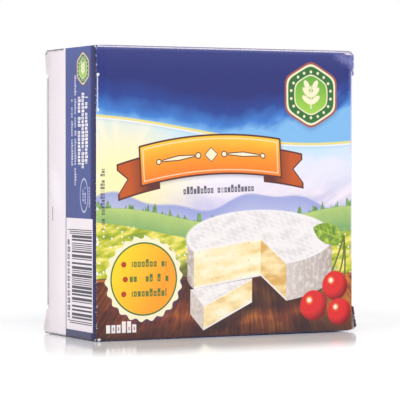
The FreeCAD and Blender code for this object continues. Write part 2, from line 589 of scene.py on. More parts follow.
@dataclass(frozen=True)
class TickText:
    """Rows of small blocks that stand where a text would, and say nothing."""

    # Keeps the cells of one row from having the numbers of the next one's.
    ROW_STEP = 61.7

    across: float
    up: float
    length: float
    style: Lettering
    seed: float
    rows: int = 1
    turn: float = 0.0

    def draw(self, under: Pigment, place: Place) -> Pigment:
        """Lay the rows over what is there, each as long as chance makes it.

        Args:
            under: What is there already.
            place: The panel's place.

        Returns:
            The picture with the rows on it.
        """
        style = self.style
        tall = self.rows * style.pitch
        local = place.at(self.across, self.up, self.turn)
        level = local.at(0.0, -tall / 2, 0.0, style.letter, style.pitch)
        row = level.up.whole() + self.seed
        cell = level.across.whole() + row * self.ROW_STEP
        top = (cell + 0.5).chance().rise(0.66, 0.68) * (style.height * 0.27) + style.height * 0.3
        above = level.up.part() * style.pitch - style.pitch / 2
        beside = abs(level.across.part() - 0.5) * style.letter
        block = (above - top).most(above * -1.0 - style.height * 0.3).most(beside - style.letter * 0.38)
        eye = (beside - style.letter * 0.12).most(abs(above) - style.height * 0.13)
        solid = eye.inside() * (cell + 0.7).chance().rise(0.3, 0.32) * -0.75 + 1.0
        shorter = (row + 0.3).chance() * (self.length * 0.16 * min(1, self.rows - 1))
        ends = shorter + (abs(local.across) - self.length / 2)
        block = block.most(ends).most(abs(local.up) - tall / 2)
        word = cell.chance().rise(style.gaps - 0.01, style.gaps + 0.01)
        return under.lay(style.ink, block.inside(0.14) * solid * word * style.strength)


@dataclass(frozen=True)
class StripeCode:
    """A block of dark stripes of uneven width, stacked upwards, with no digits."""

    left: float
    right: float
    low: float
    high: float
    module: float = 0.292
    guard: float = 1.7
    guard_run: float = 5.0
    ink: Ink = Ink.BARS_AND_SHADOW

    def draw(self, under: Pigment, place: Place) -> Pigment:
        """Lay the stripes, with longer ones at both ends and in the middle.

        Args:
            under: What is there already.
            place: The panel's place.

        Returns:
            The picture with the stripes on it.
        """
        half = (self.high - self.low) / self.module / 2
        count = place.at(0, self.low, 0, 1.0, self.module).up
        odd = (count * 0.5).part().rise(0.49, 0.51)
        even = (count * 0.25).part().rise(0.49, 0.51)
        wide = (count * 0.5).whole().chance().rise(0.44, 0.46)
        dark = odd + wide * (even - odd)
        from_middle = abs(count - half)
        pair = abs(from_middle - 1.5).least(half - self.guard_run - from_middle).inside(1.0)
        side = place.across - self.right
        body = side.most(self.left - place.across).most(from_middle - half + self.guard_run).inside(0.1)
        longer = side.most(self.left - self.guard - place.across).most(from_middle - half).inside(0.1)
        return under.lay(self.ink, (body * dark).most(longer * pair * odd))


@dataclass(frozen=True)
class TopWave:
    """The deep blue field across the top, with its waved lower edge and gold line."""

    middle: float = 62.8
    swing: float = 4.2
    turns: float = 0.039
    start: float = 0.35

    def height(self, place: Place) -> Field:
        """How far a point is above the wave."""
        crest = -(self.start + math.pi / 2) / self.turns
        swell = place.at(crest, 0, 0, 1 / self.turns, 1).across.wave()
        return place.up - (swell * self.swing + self.middle)

    def draw(self, under: Pigment, place: Place) -> Pigment:
        """Lay the field and the two lines that edge it.

        Args:
            under: What is there already.
            place: The panel's place.

        Returns:
            The picture with the top on it.
        """
        height = self.height(place)
        picture = under.lay(Ink.VIOLET, height.rise(-2.2, 0.0) * 0.35)
        streaks = place.across.rise(34, 90) * (place.mottle(3.0, 2.0, 0.5, 5.0, 32) * 9.0 + 5.0)
        tone = height + (place.mottle(9.0) - 0.5) * 5.0 - streaks
        stops = ((0.0, Ink.HAZE), (0.09, Ink.AZURE), (0.26, Ink.BLUE), (0.44, Ink.NIGHT))
        blue = under.press.blend(tone.span(0, 26), *stops)
        blue = blue.lay(Ink.VIOLET, place.up.rise(78, 92) * 0.1)
        picture = picture.lay(blue, height.rise(-0.1, 0.1))
        picture = picture.lay(Ink.BOARD_AND_HIGHLIGHT, (height + 0.75).line(0.45, 0.3) * 0.85)
        return picture.lay(Ink.GOLD_LINE, (height + 0.15).line(0.7, 0.25))


@dataclass(frozen=True)
class DawnSky:
    """A pale morning sky with a low sun on the left and soft rays."""

    sun_across: float = 8.0
    sun_up: float = 46.0

    def draw(self, press: Press, place: Place, below_wave: Field) -> Pigment:
        """Give the whole background, from the wave down.

        Args:
            press: The press to draw on.
            place: The front panel's place.
            below_wave: How far each point is below the wave.

        Returns:
            The sky.
        """
        depth = below_wave + (place.mottle(7.0, 3.0, 0.5, 2.2) - 0.5) * 12.0
        stops = ((0.0, Ink.PALE_SKY), (0.3, Ink.MIST), (0.62, Ink.ROSE_MIST), (1.0, Ink.LILAC))
        sky = press.blend(depth.span(0, 27), *stops)
        right = place.across.rise(40, 92) * place.mottle(3.2, 2.0, 0.5, 4.0, 28).rise(0.3, 0.7)
        sky = sky.lay(Ink.VIOLET, right * below_wave.rise(6, 24) * 0.75)
        sun = place.at(self.sun_across, self.sun_up)
        reach = sun.reach()
        rays = (sun.bearing() * 4.0).ripple(1.0).rise(0.48, 0.66)
        sky = sky.lay(Ink.BOARD_AND_HIGHLIGHT, rays * reach.rise(70, 16) * 0.55)
        return sky.lay(Ink.SUNLIGHT, reach.rise(32, 3) * 0.95)


@dataclass(frozen=True)
class Hills:
    """Far lilac hills, a wooded green ridge and a bright meadow in front."""

    far: float = 41.0
    ridge: float = 36.5
    near: float = 31.5
    flower_wide: float = 1.9
    flower_high: float = 1.5
    flower: float = 0.3

    def draw(self, under: Pigment, place: Place) -> Pigment:
        """Lay the three from the back to the front.

        Args:
            under: What is there already.
            place: The panel's place.

        Returns:
            The picture with the hills on it.
        """
        press = under.press
        rolling = (place.across * 0.12 + 0.9).wave() * 2.3 + (place.across * 0.29).wave() * 0.9
        far = place.up - self.far - rolling
        haze = press.blend(far.span(0, -9), (0.0, Ink.FAR_HILL), (1.0, Ink.FAR_HAZE))
        picture = under.lay(haze, far.inside(1.0) * 0.9)
        ridge = place.up - self.ridge - (place.across * 0.075 + 1.2).wave() * 2.8
        tufts = (place.across * 0.4).ripple(3.0).rise(0.46, 0.7) * 2.6
        woods = press.blend(place.mottle(1.6, 2.0), (0.35, Ink.TREE), (0.7, Ink.HILL))
        picture = picture.lay(woods, (ridge - tufts).inside(0.5))
        slope = (place.mottle(6.0) * 4.0 - ridge).span(0, 8)
        slope = press.blend(slope, (0.0, Ink.HILL_LIGHT), (1.0, Ink.HILL))
        picture = picture.lay(slope, ridge.inside(0.4))
        near = place.up - self.near - (place.across * 0.05 + 2.0).wave() * 4.0
        grass = press.blend(place.mottle(2.0, 3.0, 0.5, 3.0, 14), (0.28, Ink.MEADOW_DARK),
                            (0.46, Ink.MEADOW), (0.66, Ink.MEADOW_LIGHT))
        return self.flowers(picture.lay(grass, near.inside(0.5)), place, near)

    def flowers(self, under: Pigment, place: Place, near: Field) -> Pigment:
        """Strew white flowers over the meadow, one in each of the cells that chance picks.

        Args:
            under: What is there already.
            place: The panel's place.
            near: Distance from the meadow.

        Returns:
            The picture with the flowers on it.
        """
        cell = place.at(0, 0, 0, self.flower_wide, self.flower_high)
        corner = cell.across.whole() + cell.up.whole() * 31.3
        shift = corner.chance() * 0.5 - 0.25
        dot = cell.bent((cell.across.part() - 0.5 + shift) * self.flower_wide,
                        (cell.up.part() - 0.5 - shift) * self.flower_high)
        bloom = disc(dot, self.flower).inside(0.2) * (corner + 0.4).chance().rise(0.6, 0.62)
        return under.lay(Ink.BOARD_AND_HIGHLIGHT, bloom * near.inside(3.0) * 0.9)


@dataclass(frozen=True)
class PlankTable:
    """A table of brown planks that run away from the viewer."""

    back: float = 18.5
    vanish_across: float = 48.0
    vanish_up: float = 74.0
    plank: float = 0.17

    def draw(self, under: Pigment, place: Place) -> Pigment:
        """Lay the planks, their grain and seams, and the table's back edge.

        Args:
            under: What is there already.
            place: The panel's place.

        Returns:
            The picture with the table on it.
        """
        press = under.press
        drawn = (place.across - self.vanish_across) / (self.vanish_up - place.up)
        lane = drawn / self.plank
        tone = lane.whole().chance()
        grain = place.mottle(6.0, 3.0, 0.6, 99.0, 0.0, drawn * 110.0)
        wood = press.blend(grain * 0.55 + tone * 0.2 + place.mottle(5.0, 2.0, 0.5, 2.4) * 0.35,
                           (0.36, Ink.WOOD_DARK), (0.52, Ink.WOOD), (0.7, Ink.WOOD_LIGHT))
        seam = (0.5 - abs(lane.part() - 0.5)) * 10.0
        wood = wood.lay(Ink.WOOD_SHADE, seam.inside(0.9) * 0.8)
        wood = wood.lay(Ink.WOOD_SHADE, place.up.rise(8.0, -2.0) * 0.9)
        wood = wood.lay(Ink.WOOD_SHADE, place.across.rise(9.0, -2.0) * 0.8)
        edge = place.up - self.back
        wood = wood.lay(Ink.WOOD_LIGHT, (edge + 0.6).line(0.5, 0.5) * 0.8)
        return under.lay(wood, edge.inside(0.3))


@dataclass(frozen=True)
class CheeseWheel:
    """A white-rinded wheel with a wedge cut out of it and pulled forward."""

    across: float = 55.0
    up: float = 29.8
    wide: float = 25.0
    high: float = 8.4
    thick: float = 11.6
    first_cut: float = 204.0
    second_cut: float = 291.0
    wedge_thick: float = 7.4
    wedge_tip: tuple[float, float] = (52.0, 17.6)
    wedge_heel: tuple[float, float] = (35.4, 9.6)
    wedge_far: tuple[float, float] = (31.0, 14.6)

    def rim(self, degrees: float) -> tuple[float, float]:
        """A point of the top's rim, by its bearing about the middle."""
        angle = math.radians(degrees)
        return (self.across + self.wide * math.cos(angle), self.up + self.high * math.sin(angle))

    def below(self, corner: tuple[float, float], thick: float) -> tuple[float, float]:
        """The point under a corner of the top, at the foot of a piece that thick."""
        return (corner[0], corner[1] - thick)

    def rind(self, press: Press, place: Place) -> Pigment:
        """White rind, mottled, with the faint ribs that a ripening mat leaves.

        Args:
            press: The press to draw on.
            place: The panel's place.

        Returns:
            Its colour.
        """
        ribs = place.at(0, 0, 24, 0.3, 1).across.wave() * 0.06
        ribs = ribs + place.at(0, 0, -18, 1, 0.2).up.wave() * 0.06
        tone = place.mottle(2.4, 3.0, 0.55, 2.0) + ribs
        return press.blend(tone, (0.3, Ink.RIND_GREY), (0.58, Ink.RIND))

    def paste(self, press: Press, place: Place, lit: float) -> Pigment:
        """Cut cheese, creamier or deeper by how well it is lit."""
        tone = place.mottle(3.4, 3.0, 0.5, 2.4, 8) + (lit - 0.5)
        paste = press.blend(tone, (0.2, Ink.PASTE_DEEP), (0.5, Ink.PASTE), (0.74, Ink.PASTE_LIGHT))
        return paste.lay(Ink.PASTE_DEEP, place.mottle(0.9, 1.0).rise(0.7, 0.76) * 0.5)

    def cut_face(self, under: Pigment, place: Place, left: tuple[float, float],
                 right: tuple[float, float], thick: float, lit: float) -> Pigment:
        """Lay an upright cut face, edged with rind above and below.

        Args:
            under: What is there already.
            place: The panel's place.
            left: The upper left corner.
            right: The upper right corner.
            thick: How tall it is.
            lit: How well it is lit.

        Returns:
            The picture with the face on it.
        """
        slope = (right[1] - left[1]) / (right[0] - left[0])
        depth = place.edge(slope, -1.0, slope * left[0] - left[1])
        paste = self.paste(under.press, place, lit)
        paste = paste.lay(Ink.RIND, depth.line(1.0, 0.5).most((depth - thick).line(1.3, 0.5)) * 0.9)
        shape = polygon(place, left, self.below(left, thick), self.below(right, thick), right)
        return under.lay(paste, shape.inside())

    def draw(self, under: Pigment, place: Place) -> Pigment:
        """Lay the shadow, the wheel, its two cut faces and the loose wedge.

        Args:
            under: What is there already.
            place: The panel's place.

        Returns:
            The picture with the cheese on it.
        """
        press = under.press
        foot = place.at(self.across, self.up - self.thick)
        shadow = oval(foot.at(-2.0, -1.0), self.wide + 3, self.high + 1.6)
        picture = under.lay(Ink.WOOD_SHADE, shadow.inside(3.5) * 0.8)
        here = place.at(self.across, self.up)
        start, end = self.rim(self.first_cut), self.rim(self.second_cut)
        heart = (self.across, self.up)
        deep = self.up - 30
        gap = polygon(place, (start[0], deep), (end[0], deep), end, heart, start)
        side = press.blend(place.at(self.across - self.wide, 0, 0, 2 * self.wide, 1).across,
                           (0.0, Ink.RIND_SHADE), (0.16, Ink.RIND_SIDE), (0.62, Ink.RIND_SIDE),
                           (1.0, Ink.RIND_SHADE))
        side = side.lay(Ink.RIND, place.mottle(2.0, 3.0, 0.55, 0.6).rise(0.4, 0.72) * 0.5)
        wall = slab(here.at(0, -self.thick / 2), self.wide, self.thick / 2)
        wall = wall.least(oval(foot, self.wide, self.high)).without(gap)
        picture = picture.lay(side, wall.inside())
        top = oval(here, self.wide, self.high).without(gap)
        picture = picture.lay(self.rind(press, place), top.inside())
        picture = picture.lay(Ink.BOARD_AND_HIGHLIGHT, top.line(0.35, 0.4) * 0.8)
        picture = self.cut_face(picture, place, start, heart, self.thick, 0.62)
        picture = self.cut_face(picture, place, heart, end, self.thick, 0.3)
        return self.wedge(picture, place)

    def wedge(self, under: Pigment, place: Place) -> Pigment:
        """Lay the wedge that was cut out, lying in front.

        Args:
            under: What is there already.
            place: The panel's place.

        Returns:
            The picture with the wedge on it.
        """
        tip, heel, far = self.wedge_tip, self.wedge_heel, self.wedge_far
        shadow = oval(place.at(43.0, 6.2, 24), 12.5, 3.6)
        picture = under.lay(Ink.WOOD_SHADE, shadow.inside(3.0) * 0.75)
        picture = self.cut_face(picture, place, heel, tip, self.wedge_thick, 0.55)
        feet = (self.below(far, self.wedge_thick), self.below(heel, self.wedge_thick))
        back = polygon(place, far, *feet, heel).inside()
        picture = picture.lay(Ink.RIND_SIDE, back)
        picture = picture.lay(Ink.RIND_SHADE, back * place.mottle(1.4, 3.0).rise(0.4, 0.7) * 0.5)
        return picture.lay(self.rind(under.press, place), polygon(place, far, heel, tip).inside())


@dataclass(frozen=True)
class Cherries:
    """A bunch of cherries on their stems, with a leaf."""

    fruit: tuple[tuple[float, float, float], ...] = (
        (81.2, 14.6, 4.5),
        (73.6, 8.6, 4.7),
        (82.8, 6.4, 4.2),
    )
    knot: tuple[float, float] = (84.5, 30.0)

    def draw(self, under: Pigment, place: Place) -> Pigment:
        """Lay the leaf and stems, then each fruit with its shade and gleam.

        Args:
            under: What is there already.
            place: The panel's place.

        Returns:
            The picture with the cherries on it.
        """
        press = under.press
        picture = under.lay(Ink.WOOD_SHADE, oval(place.at(78.0, 3.6), 12.0, 3.4).inside(3.0) * 0.7)
        leaf = place.at(self.knot[0] - 5.4, self.knot[1] + 0.6, 160)
        blade = disc(leaf.at(0, -4.2), 7.4).most(disc(leaf.at(0, 4.2), 7.4)).inside()
        stops = ((0.32, Ink.TREE), (0.5, Ink.LEAF), (0.7, Ink.LEAF_LIGHT))
        green = press.blend(place.mottle(2.2, 3.0), *stops)
        picture = picture.lay(green, blade)
        rib = abs(leaf.up)
        veins = (rib - 0.16).least(((leaf.across - rib * 0.8) * 0.62).part() * 1.2 - 0.12)
        picture = picture.lay(Ink.LEAF_LIGHT, veins.inside(0.2) * blade * 0.7)
        for across, up, _ in self.fruit:
            run, climb = self.knot[0] - across, self.knot[1] - up
            length = math.hypot(run, climb)
            stem = place.at(across, up, math.degrees(math.atan2(climb, run)))
            sway = (stem.across * (math.pi / length)).wave() * 1.1
            thread = (abs(stem.up + sway) - 0.28).most(abs(stem.across - length / 2) - length / 2)
            picture = picture.lay(Ink.STEM, thread.inside())
        for across, up, radius in self.fruit:
            ball = place.at(across, up, 0, radius, radius)
            lit = ball.at(-0.32, 0.36).reach()
            skin = press.blend(lit.span(0.1, 1.35), (0.0, Ink.SEAL_ORANGE), (0.18, Ink.CHERRY),
                               (0.62, Ink.CHERRY), (1.0, Ink.CHERRY_DARK))
            picture = picture.lay(skin, ((ball.reach() - 1.0) * radius).inside())
            picture = picture.lay(Ink.BOARD_AND_HIGHLIGHT, ((lit - 0.15) * radius).inside(0.5) * 0.9)
        return picture


@dataclass(frozen=True)
class RoundSeal:
    """A scalloped orange seal with three marked rows."""

    across: float = 15.6
    up: float = 18.2
    radius: float = 12.4
    scallops: int = 22
    scallop: float = 0.42
    row: float = 4.4
    style: Lettering = Lettering(3.0, 1.3, 2.7, Ink.BADGE_DEEP, gaps=0.12)

    def draw(self, under: Pigment, place: Place) -> Pigment:
        """Lay the seal's rims, its field and its rows.

        Args:
            under: What is there already.
            place: The panel's place.

        Returns:
            The picture with the seal on it.
        """
        press = under.press
        here = place.at(self.across, self.up)
        picture = under.lay(Ink.SHADOW, disc(here.at(0.5, -0.6), self.radius).inside(1.6) * 0.4)
        reach = here.reach()
        wavy = reach - (here.bearing() * self.scallops).wave() * self.scallop
        picture = picture.lay(Ink.CREAM, (wavy - self.radius).inside())
        round_edge = reach - (self.radius - 1.9)
        picture = picture.lay(Ink.BADGE_DEEP, (round_edge - 0.45).inside())
        field = press.blend(here.edge(0.9, -0.45).span(-self.radius, self.radius),
                            (0.1, Ink.SEAL_YELLOW), (0.75, Ink.SEAL_ORANGE))
        picture = picture.lay(field, round_edge.inside())
        rows = ((self.row, -6.6, 11.4, 11.0), (0.0, -6.1, 13.0, 12.0), (-self.row, -6.6, 11.4, 13.0))
        for level, dot, length, seed in rows:
            picture = picture.lay(Ink.SEAL_MARK, disc(here.at(dot, level), 0.85).inside())
            text = TickText(self.across + 1.7, self.up + level, length, self.style, seed)
            picture = text.draw(picture, place)
        return picture


@dataclass(frozen=True)
class LeafBadge:
    """A six-sided green badge with a sprig on it."""

    across: float
    up: float
    size: float
    beads: int = 18

    def draw(self, under: Pigment, place: Place) -> Pigment:
        """Lay the rims, the green fields, a ring of dots and the sprig.

        Args:
            under: What is there already.
            place: The panel's place.

        Returns:
            The picture with the badge on it.
        """
        press = under.press
        here = place.at(self.across, self.up, 0, self.size, self.size)
        sides = [abs(here.edge(math.cos(angle), math.sin(angle)))
                 for angle in (0.0, math.pi / 3, 2 * math.pi / 3)]
        hexagon = sides[0].rounded(sides[1], 0.3).rounded(sides[2], 0.3)
        picture = under.lay(Ink.NIGHT, (hexagon - 0.98).inside(0.3) * 0.5)
        rims = ((0.94, Ink.BADGE_RIM), (0.88, Ink.CREAM), (0.82, Ink.BADGE_DEEP), (0.60, Ink.CREAM))
        for reach, ink in rims:
            picture = picture.lay(ink, (hexagon - reach).inside(0.02))
        glow = press.blend(here.up.span(0.6, -0.6), (0.0, Ink.BADGE_MIDDLE), (1.0, Ink.BADGE_LIGHT))
        picture = picture.lay(glow, (hexagon - 0.565).inside(0.02))
        beads = (here.bearing() * (self.beads / math.tau)).part() - 0.5
        ring = here.bent(beads * 0.26, here.reach() - 0.72)
        picture = picture.lay(Ink.CREAM, (ring.reach() - 0.045).inside(0.03))
        sprig = slab(here.at(0, -0.08), 0.022, 0.36)
        for level, lean, long in ((-0.22, 38, 0.2), (0.02, 46, 0.2), (0.24, 62, 0.17)):
            for side in (-1, 1):
                leaf = here.at(side * 0.15, level + 0.06, 90 - side * (90 - lean), long, 0.085)
                sprig = sprig.least((leaf.reach() - 1.0) * 0.085)
        return picture.lay(Ink.CREAM, sprig.inside(0.02))


@dataclass(frozen=True)
class ArchedRibbon:
    """A blank ribbon from yellow to orange, with folded tails and a small ornament."""

    across: float = 38.0
    up: float = 55.2
    half: float = 23.5
    tall: float = 5.6
    arch: float = 0.0042

    def draw(self, under: Pigment, place: Place) -> Pigment:
        """Lay its shadow, tails, folds and band.

        Args:
            under: What is there already.
            place: The panel's place.

        Returns:
            The picture with the ribbon on it.
        """
        press = under.press
        flat = place.at(self.across, self.up, 3.0)
        here = flat.bent(flat.across, flat.up + flat.across * flat.across * self.arch)
        mirrored = here.bent(abs(here.across), here.up)
        band = slab(here, self.half, self.tall, 0.5)
        tail = slab(mirrored.at(self.half + 1.0, -2.6), 6.4, self.tall - 0.7)
        tail = tail.without(abs(mirrored.up + 2.6) - (mirrored.across - (self.half + 4.2)) * 1.1)
        shadow = slab(here.at(0.7, -1.0), self.half, self.tall, 1.0)
        picture = under.lay(Ink.SHADOW, shadow.inside(2.2) * 0.55)
        picture = picture.lay(Ink.RIBBON_LINE, (band.least(tail) - 0.55).inside())
        back = (mirrored.across - self.half).span(-5, 7)
        back = press.blend(back, (0.2, Ink.RIBBON_LINE), (0.75, Ink.RIBBON_BACK))
        picture = picture.lay(back, tail.inside())
        picture = picture.lay(Ink.RIBBON_LINE, (band - 0.5).inside())
        body = press.blend((place.mottle(8.0) * 1.5 - here.up).span(-self.tall, self.tall + 1.5),
                           (0.0, Ink.RIBBON_TOP), (0.42, Ink.SEAL_ORANGE), (1.0, Ink.RIBBON_LOW))
        picture = picture.lay(body, band.inside())
        picture = picture.lay(Ink.CREAM, (band + 0.85).line(0.3, 0.3) * 0.75)
        ornament = abs(here.across) + abs(here.up) - 2.0
        ornament = ornament.least(disc(mirrored.at(4.4, 0), 0.7)).least(disc(mirrored.at(17.6, 0), 0.6))
        along = abs(mirrored.across - 11.0)
        ornament = ornament.least((abs(here.up) + along * 0.09 - 0.55).most(along - 5.2))
        picture = picture.lay(Ink.RIBBON_LINE, (ornament - 0.3).inside())
        return picture.lay(Ink.CREAM, ornament.inside())


# --- Whole prints ------------------------------------------------------------------


class Artwork(Protocol):
    """What covers the whole of a panel."""

    def draw(self, press: Press, place: Place) -> Pigment:
        """Draw the print."""


def lay_all(motifs: Sequence[Motif], under: Pigment, place: Place) -> Pigment:
    """Lay motifs one over another.

    Args:
        motifs: The motifs, from the back to the front.
        under: What is there already.
        place: The panel's place.

    Returns:
        The picture with all of them on it.
    """
    for motif in motifs:
        under = motif.draw(under, place)
    return under


class FrontPrint:
    """The picture side: blue top, ribbon, landscape, table, cheese, fruit and seal."""

    def draw(self, press: Press, place: Place) -> Pigment:
        """Draw every motif from the back to the front.

        Args:
            press: The press to draw on.
            place: The panel's place.

        Returns:
            The whole print.
        """
        wave = TopWave()
        picture = DawnSky().draw(press, place, wave.height(place) * -1.0)
        motifs = (
            Hills(),
            PlankTable(),
            CheeseWheel(),
            Cherries(),
            RoundSeal(),
            wave,
            LeafBadge(72.6, 73.6, 9.8),
            ArchedRibbon(),
            TickText(40.0, 44.4, 25.0, Lettering(3.2, 1.15, 2.6, gaps=0.14), 21.0, turn=2.0),
            TickText(2.4, 42.0, 18.0, Lettering(2.0, 0.95, 1.6, strength=0.8), 5.0, turn=90.0),
            TickText(8.2, 3.6, 10.2, Lettering(4.4, 1.7, 4.0, Ink.BOARD_AND_HIGHLIGHT, gaps=0.0), 2.0),
        )
        return lay_all(motifs, picture, place)


@dataclass(frozen=True)
class EndPrint:
    """An end flap: blue by its hinge, bare board by its tuck, with small type and a stripe code."""

    DOWN = -90.0

    bleed: bool = False
    bare: float = 15.2
    hinge: float = DEEP_MM
    box_low: float = 2.5
    box_high: float = 36.1
    box_right: float = 35.2
    slit: tuple[float, float, float, float] = (5.2, 37.05, 0.22, 2.2)

    def box(self, press: Press, place: Place) -> tuple[Pigment, Field]:
        """Draw the bare strip beside the tuck, and the box for the stripe code beside it.

        Args:
            press: The press to draw on.
            place: The panel's place.

        Returns:
            Their shaded white, and 1 where they are.
        """
        left = self.bare + 0.5
        panel = polygon(place, (left, self.box_low), (self.box_right, self.box_low),
                        (self.box_right, self.box_high), (left, self.box_high))
        panel = panel.least(place.across - self.bare).inside()
        shade = (place.across + place.mottle(9.0) * 6.0).span(2.0, 15.0)
        return press.blend(shade, (0.0, Ink.STRIP_SHADE), (1.0, Ink.STRIP)), panel

    def type_rows(self) -> list[TickText]:
        """The rows of small type, which all run down the flap.

        Returns:
            The rows beside the stripe code, in the blue field and in the oval.
        """
        digits = Lettering(2.2, 2.2, 2.6, Ink.BARS_AND_SHADOW, 0.85, 0.1)
        small = Lettering(1.8, 0.8, 1.5, Ink.TYPE_PALE, 0.9, 0.18)
        large = Lettering(2.4, 1.05, 2.7, Ink.BOARD_AND_HIGHLIGHT, 0.95, 0.1)
        foot = Lettering(1.6, 0.9, 1.0, Ink.TYPE_PALE, 0.8, 0.1)
        oval_type = Lettering(1.5, 0.9, 0.9, Ink.TYPE_PALE, 0.85, 0.1)
        return [TickText(across, up, length, style, seed, rows, self.DOWN)
                for across, up, length, style, seed, rows in (
                    (17.4, 18.9, 27.5, digits, 31.0, 1),
                    (20.0, 62.2, 21.0, small, 1.0, 1),
                    (22.4, 62.4, 33.0, small, 2.0, 1),
                    (25.3, 62.3, 20.2, large, 3.0, 1),
                    (28.0, 62.3, 22.4, large, 4.0, 1),
                    (30.6, 62.4, 19.8, large, 5.0, 1),
                    (32.7, 43.0, 7.0, foot, 6.0, 1),
                    (28.9, 43.0, 5.6, oval_type, 7.0, 2))]

    def draw(self, press: Press, place: Place) -> Pigment:
        """Draw the blue field and what stands on it. Across counts from the tuck to the hinge.

        Args:
            press: The press to draw on.
            place: The panel's place.

        Returns:
            The whole print.
        """
        tone = place.mottle(12.0) * 0.5 + place.up.span(0, HIGH_MM) * 0.5
        picture = press.blend(tone, (0.2, Ink.NIGHT), (0.8, Ink.BLUE))
        picture = picture.lay(Ink.DUSK, (place.up - 3.0).inside(4.0) * 0.85)
        # Painted shade: the blue darkens towards the hinge crease.
        picture = picture.lay(Ink.DUSK, place.across.rise(self.hinge - 4.9, self.hinge - 3.3) * 0.7)
        picture = picture.lay(*self.box(press, place))
        # Painted shade: darker still right beside the hinge crease.
        picture = picture.lay(Ink.DUSK, place.across.rise(self.hinge - 2.3, self.hinge - 1.2) * 0.8)
        picture = lay_all((StripeCode(19.9, 34.6, 4.2, 32.8), *self.type_rows()), picture, place)
        picture = picture.lay(Ink.TYPE_PALE, oval(place.at(28.9, 43.0), 2.8, 4.9).line(0.3, 0.2) * 0.85)
        picture = LeafBadge(28.2, 80.7, 4.9).draw(picture, place)
        if self.bleed:
            tuck = place.across.rise(3.2, 2.2)
            picture = picture.lay(Ink.VIOLET, place.up.rise(60, 70) * tuck)
            return picture.lay(Ink.WOOD_DARK, place.up.rise(24, 18) * tuck)
        across, up, wide, high = self.slit
        return picture.lay(Ink.BARS_AND_SHADOW, slab(place.at(across, up, 1.5), wide, high).inside() * 0.9)


@dataclass(frozen=True)
class BackPrint:
    """The back: blue, with small type in columns and an empty table."""

    table_across: float = 65.0
    table_up: float = 24.0
    table_row: float = 3.75

    def draw(self, press: Press, place: Place) -> Pigment:
        """Draw the field, the columns, the table and a badge.

        Args:
            press: The press to draw on.
            place: The panel's place.

        Returns:
            The whole print.
        """
        tone = place.mottle(16.0) * 0.4 + place.up.span(HIGH_MM, 0) * 0.6
        picture = press.blend(tone, (0.15, Ink.NIGHT), (0.6, Ink.BLUE), (0.95, Ink.AZURE))
        height = TopWave(70.0, 2.6, 0.036, 0.2).height(place)
        picture = picture.lay(Ink.NIGHT, height.rise(-0.1, 0.1))
        picture = picture.lay(Ink.GOLD_LINE, height.line(0.6, 0.25))
        picture = picture.lay(Ink.BOARD_AND_HIGHLIGHT, (height + 0.8).line(0.35, 0.25) * 0.7)
        small = Lettering(2.35, 0.85, 1.2, Ink.TYPE_PALE, gaps=0.18)
        columns = [TickText(across, up, 33.0, small, seed, rows)
                   for across, up, rows, seed in ((23.0, 52.0, 10, 41.0), (65.0, 56.0, 7, 42.0),
                                                  (23.0, 14.5, 5, 43.0))]
        picture = self.table(lay_all(columns, picture, place), place)
        title = TickText(40.0, 78.6, 30.0, Lettering(4.0, 1.7, 2.6, Ink.BOARD_AND_HIGHLIGHT), 61.0)
        picture = lay_all((title, LeafBadge(12.4, 78.4, 6.4)), picture, place)
        return picture.lay(Ink.BOARD_AND_HIGHLIGHT, oval(place.at(23.0, 29.5), 6.0, 3.6).line(0.35, 0.2) * 0.8)

    def table(self, under: Pigment, place: Place) -> Pigment:
        """Lay the table: a white box, its rules and two columns of small type.

        Args:
            under: What is there already.
            place: The panel's place.

        Returns:
            The picture with the table on it.
        """
        table = place.at(self.table_across, self.table_up)
        box = slab(table, 17.0, 15.0)
        picture = under.lay(Ink.BOARD_AND_HIGHLIGHT, box.inside())
        level = table.at(0, 0, 0, 1, self.table_row).up.part()
        rule = ((0.5 - abs(level - 0.5)) * self.table_row).line(0.3, 0.12)
        rule = rule.most(abs(table.across - 4.0).line(0.3, 0.12))
        picture = picture.lay(Ink.BLUE, rule * box.inside() * 0.8)
        picture = picture.lay(Ink.BLUE, box.line(0.35, 0.15))
        style = Lettering(self.table_row, 0.85, 1.15, gaps=0.12)
        columns = [TickText(self.table_across + across, self.table_up, length, style, seed, 8)
                   for across, length, seed in ((-7.0, 15.0, 51.0), (10.5, 8.0, 52.0))]
        return lay_all(columns, picture, place)


class TopPrint:
    """The top: the front's deep blue carried over, with a ribbon and one row of type."""

    def draw(self, press: Press, place: Place) -> Pigment:
        """Draw the field, its fine line, the ribbon and the row.

        Args:
            press: The press to draw on.
            place: The panel's place.

        Returns:
            The whole print.
        """
        middle = WIDE_MM / 2
        picture = press.blend(place.mottle(14.0), (0.25, Ink.NIGHT), (0.95, Ink.BLUE))
        frame_line = slab(place.at(middle, DEEP_MM / 2), 39.5, 14.6, 1.5).line(0.4, 0.2)
        picture = picture.lay(Ink.GOLD_LINE, frame_line * 0.9)
        row = TickText(middle, 8.6, 26.0, Lettering(2.2, 0.9, 1.3, Ink.TYPE_PALE), 71.0)
        return lay_all((ArchedRibbon(middle, 18.6, 17.0, 4.6, 0.0), row), picture, place)


class BasePrint:
    """The base: plain blue, with a few rows of type and a white box for a date."""

    def draw(self, press: Press, place: Place) -> Pigment:
        """Draw the field, the box and the rows.

        Args:
            press: The press to draw on.
            place: The panel's place.

        Returns:
            The whole print.
        """
        picture = press.blend(place.mottle(14.0), (0.25, Ink.NIGHT), (0.95, Ink.BLUE))
        middle = DEEP_MM / 2
        picture = picture.lay(Ink.BOARD_AND_HIGHLIGHT, slab(place.at(26.0, middle), 13.0, 4.5, 0.4).inside())
        date = TickText(26.0, middle, 20.0, Lettering(3.4, 1.3, 2.0, Ink.BARS_AND_SHADOW), 81.0, 2)
        rows = TickText(64.0, middle, 24.0, Lettering(2.6, 0.9, 1.3, Ink.TYPE_PALE), 82.0, 3)
        return lay_all((date, rows), picture, place)


# --- Finishes -----------------------------------------------------------------


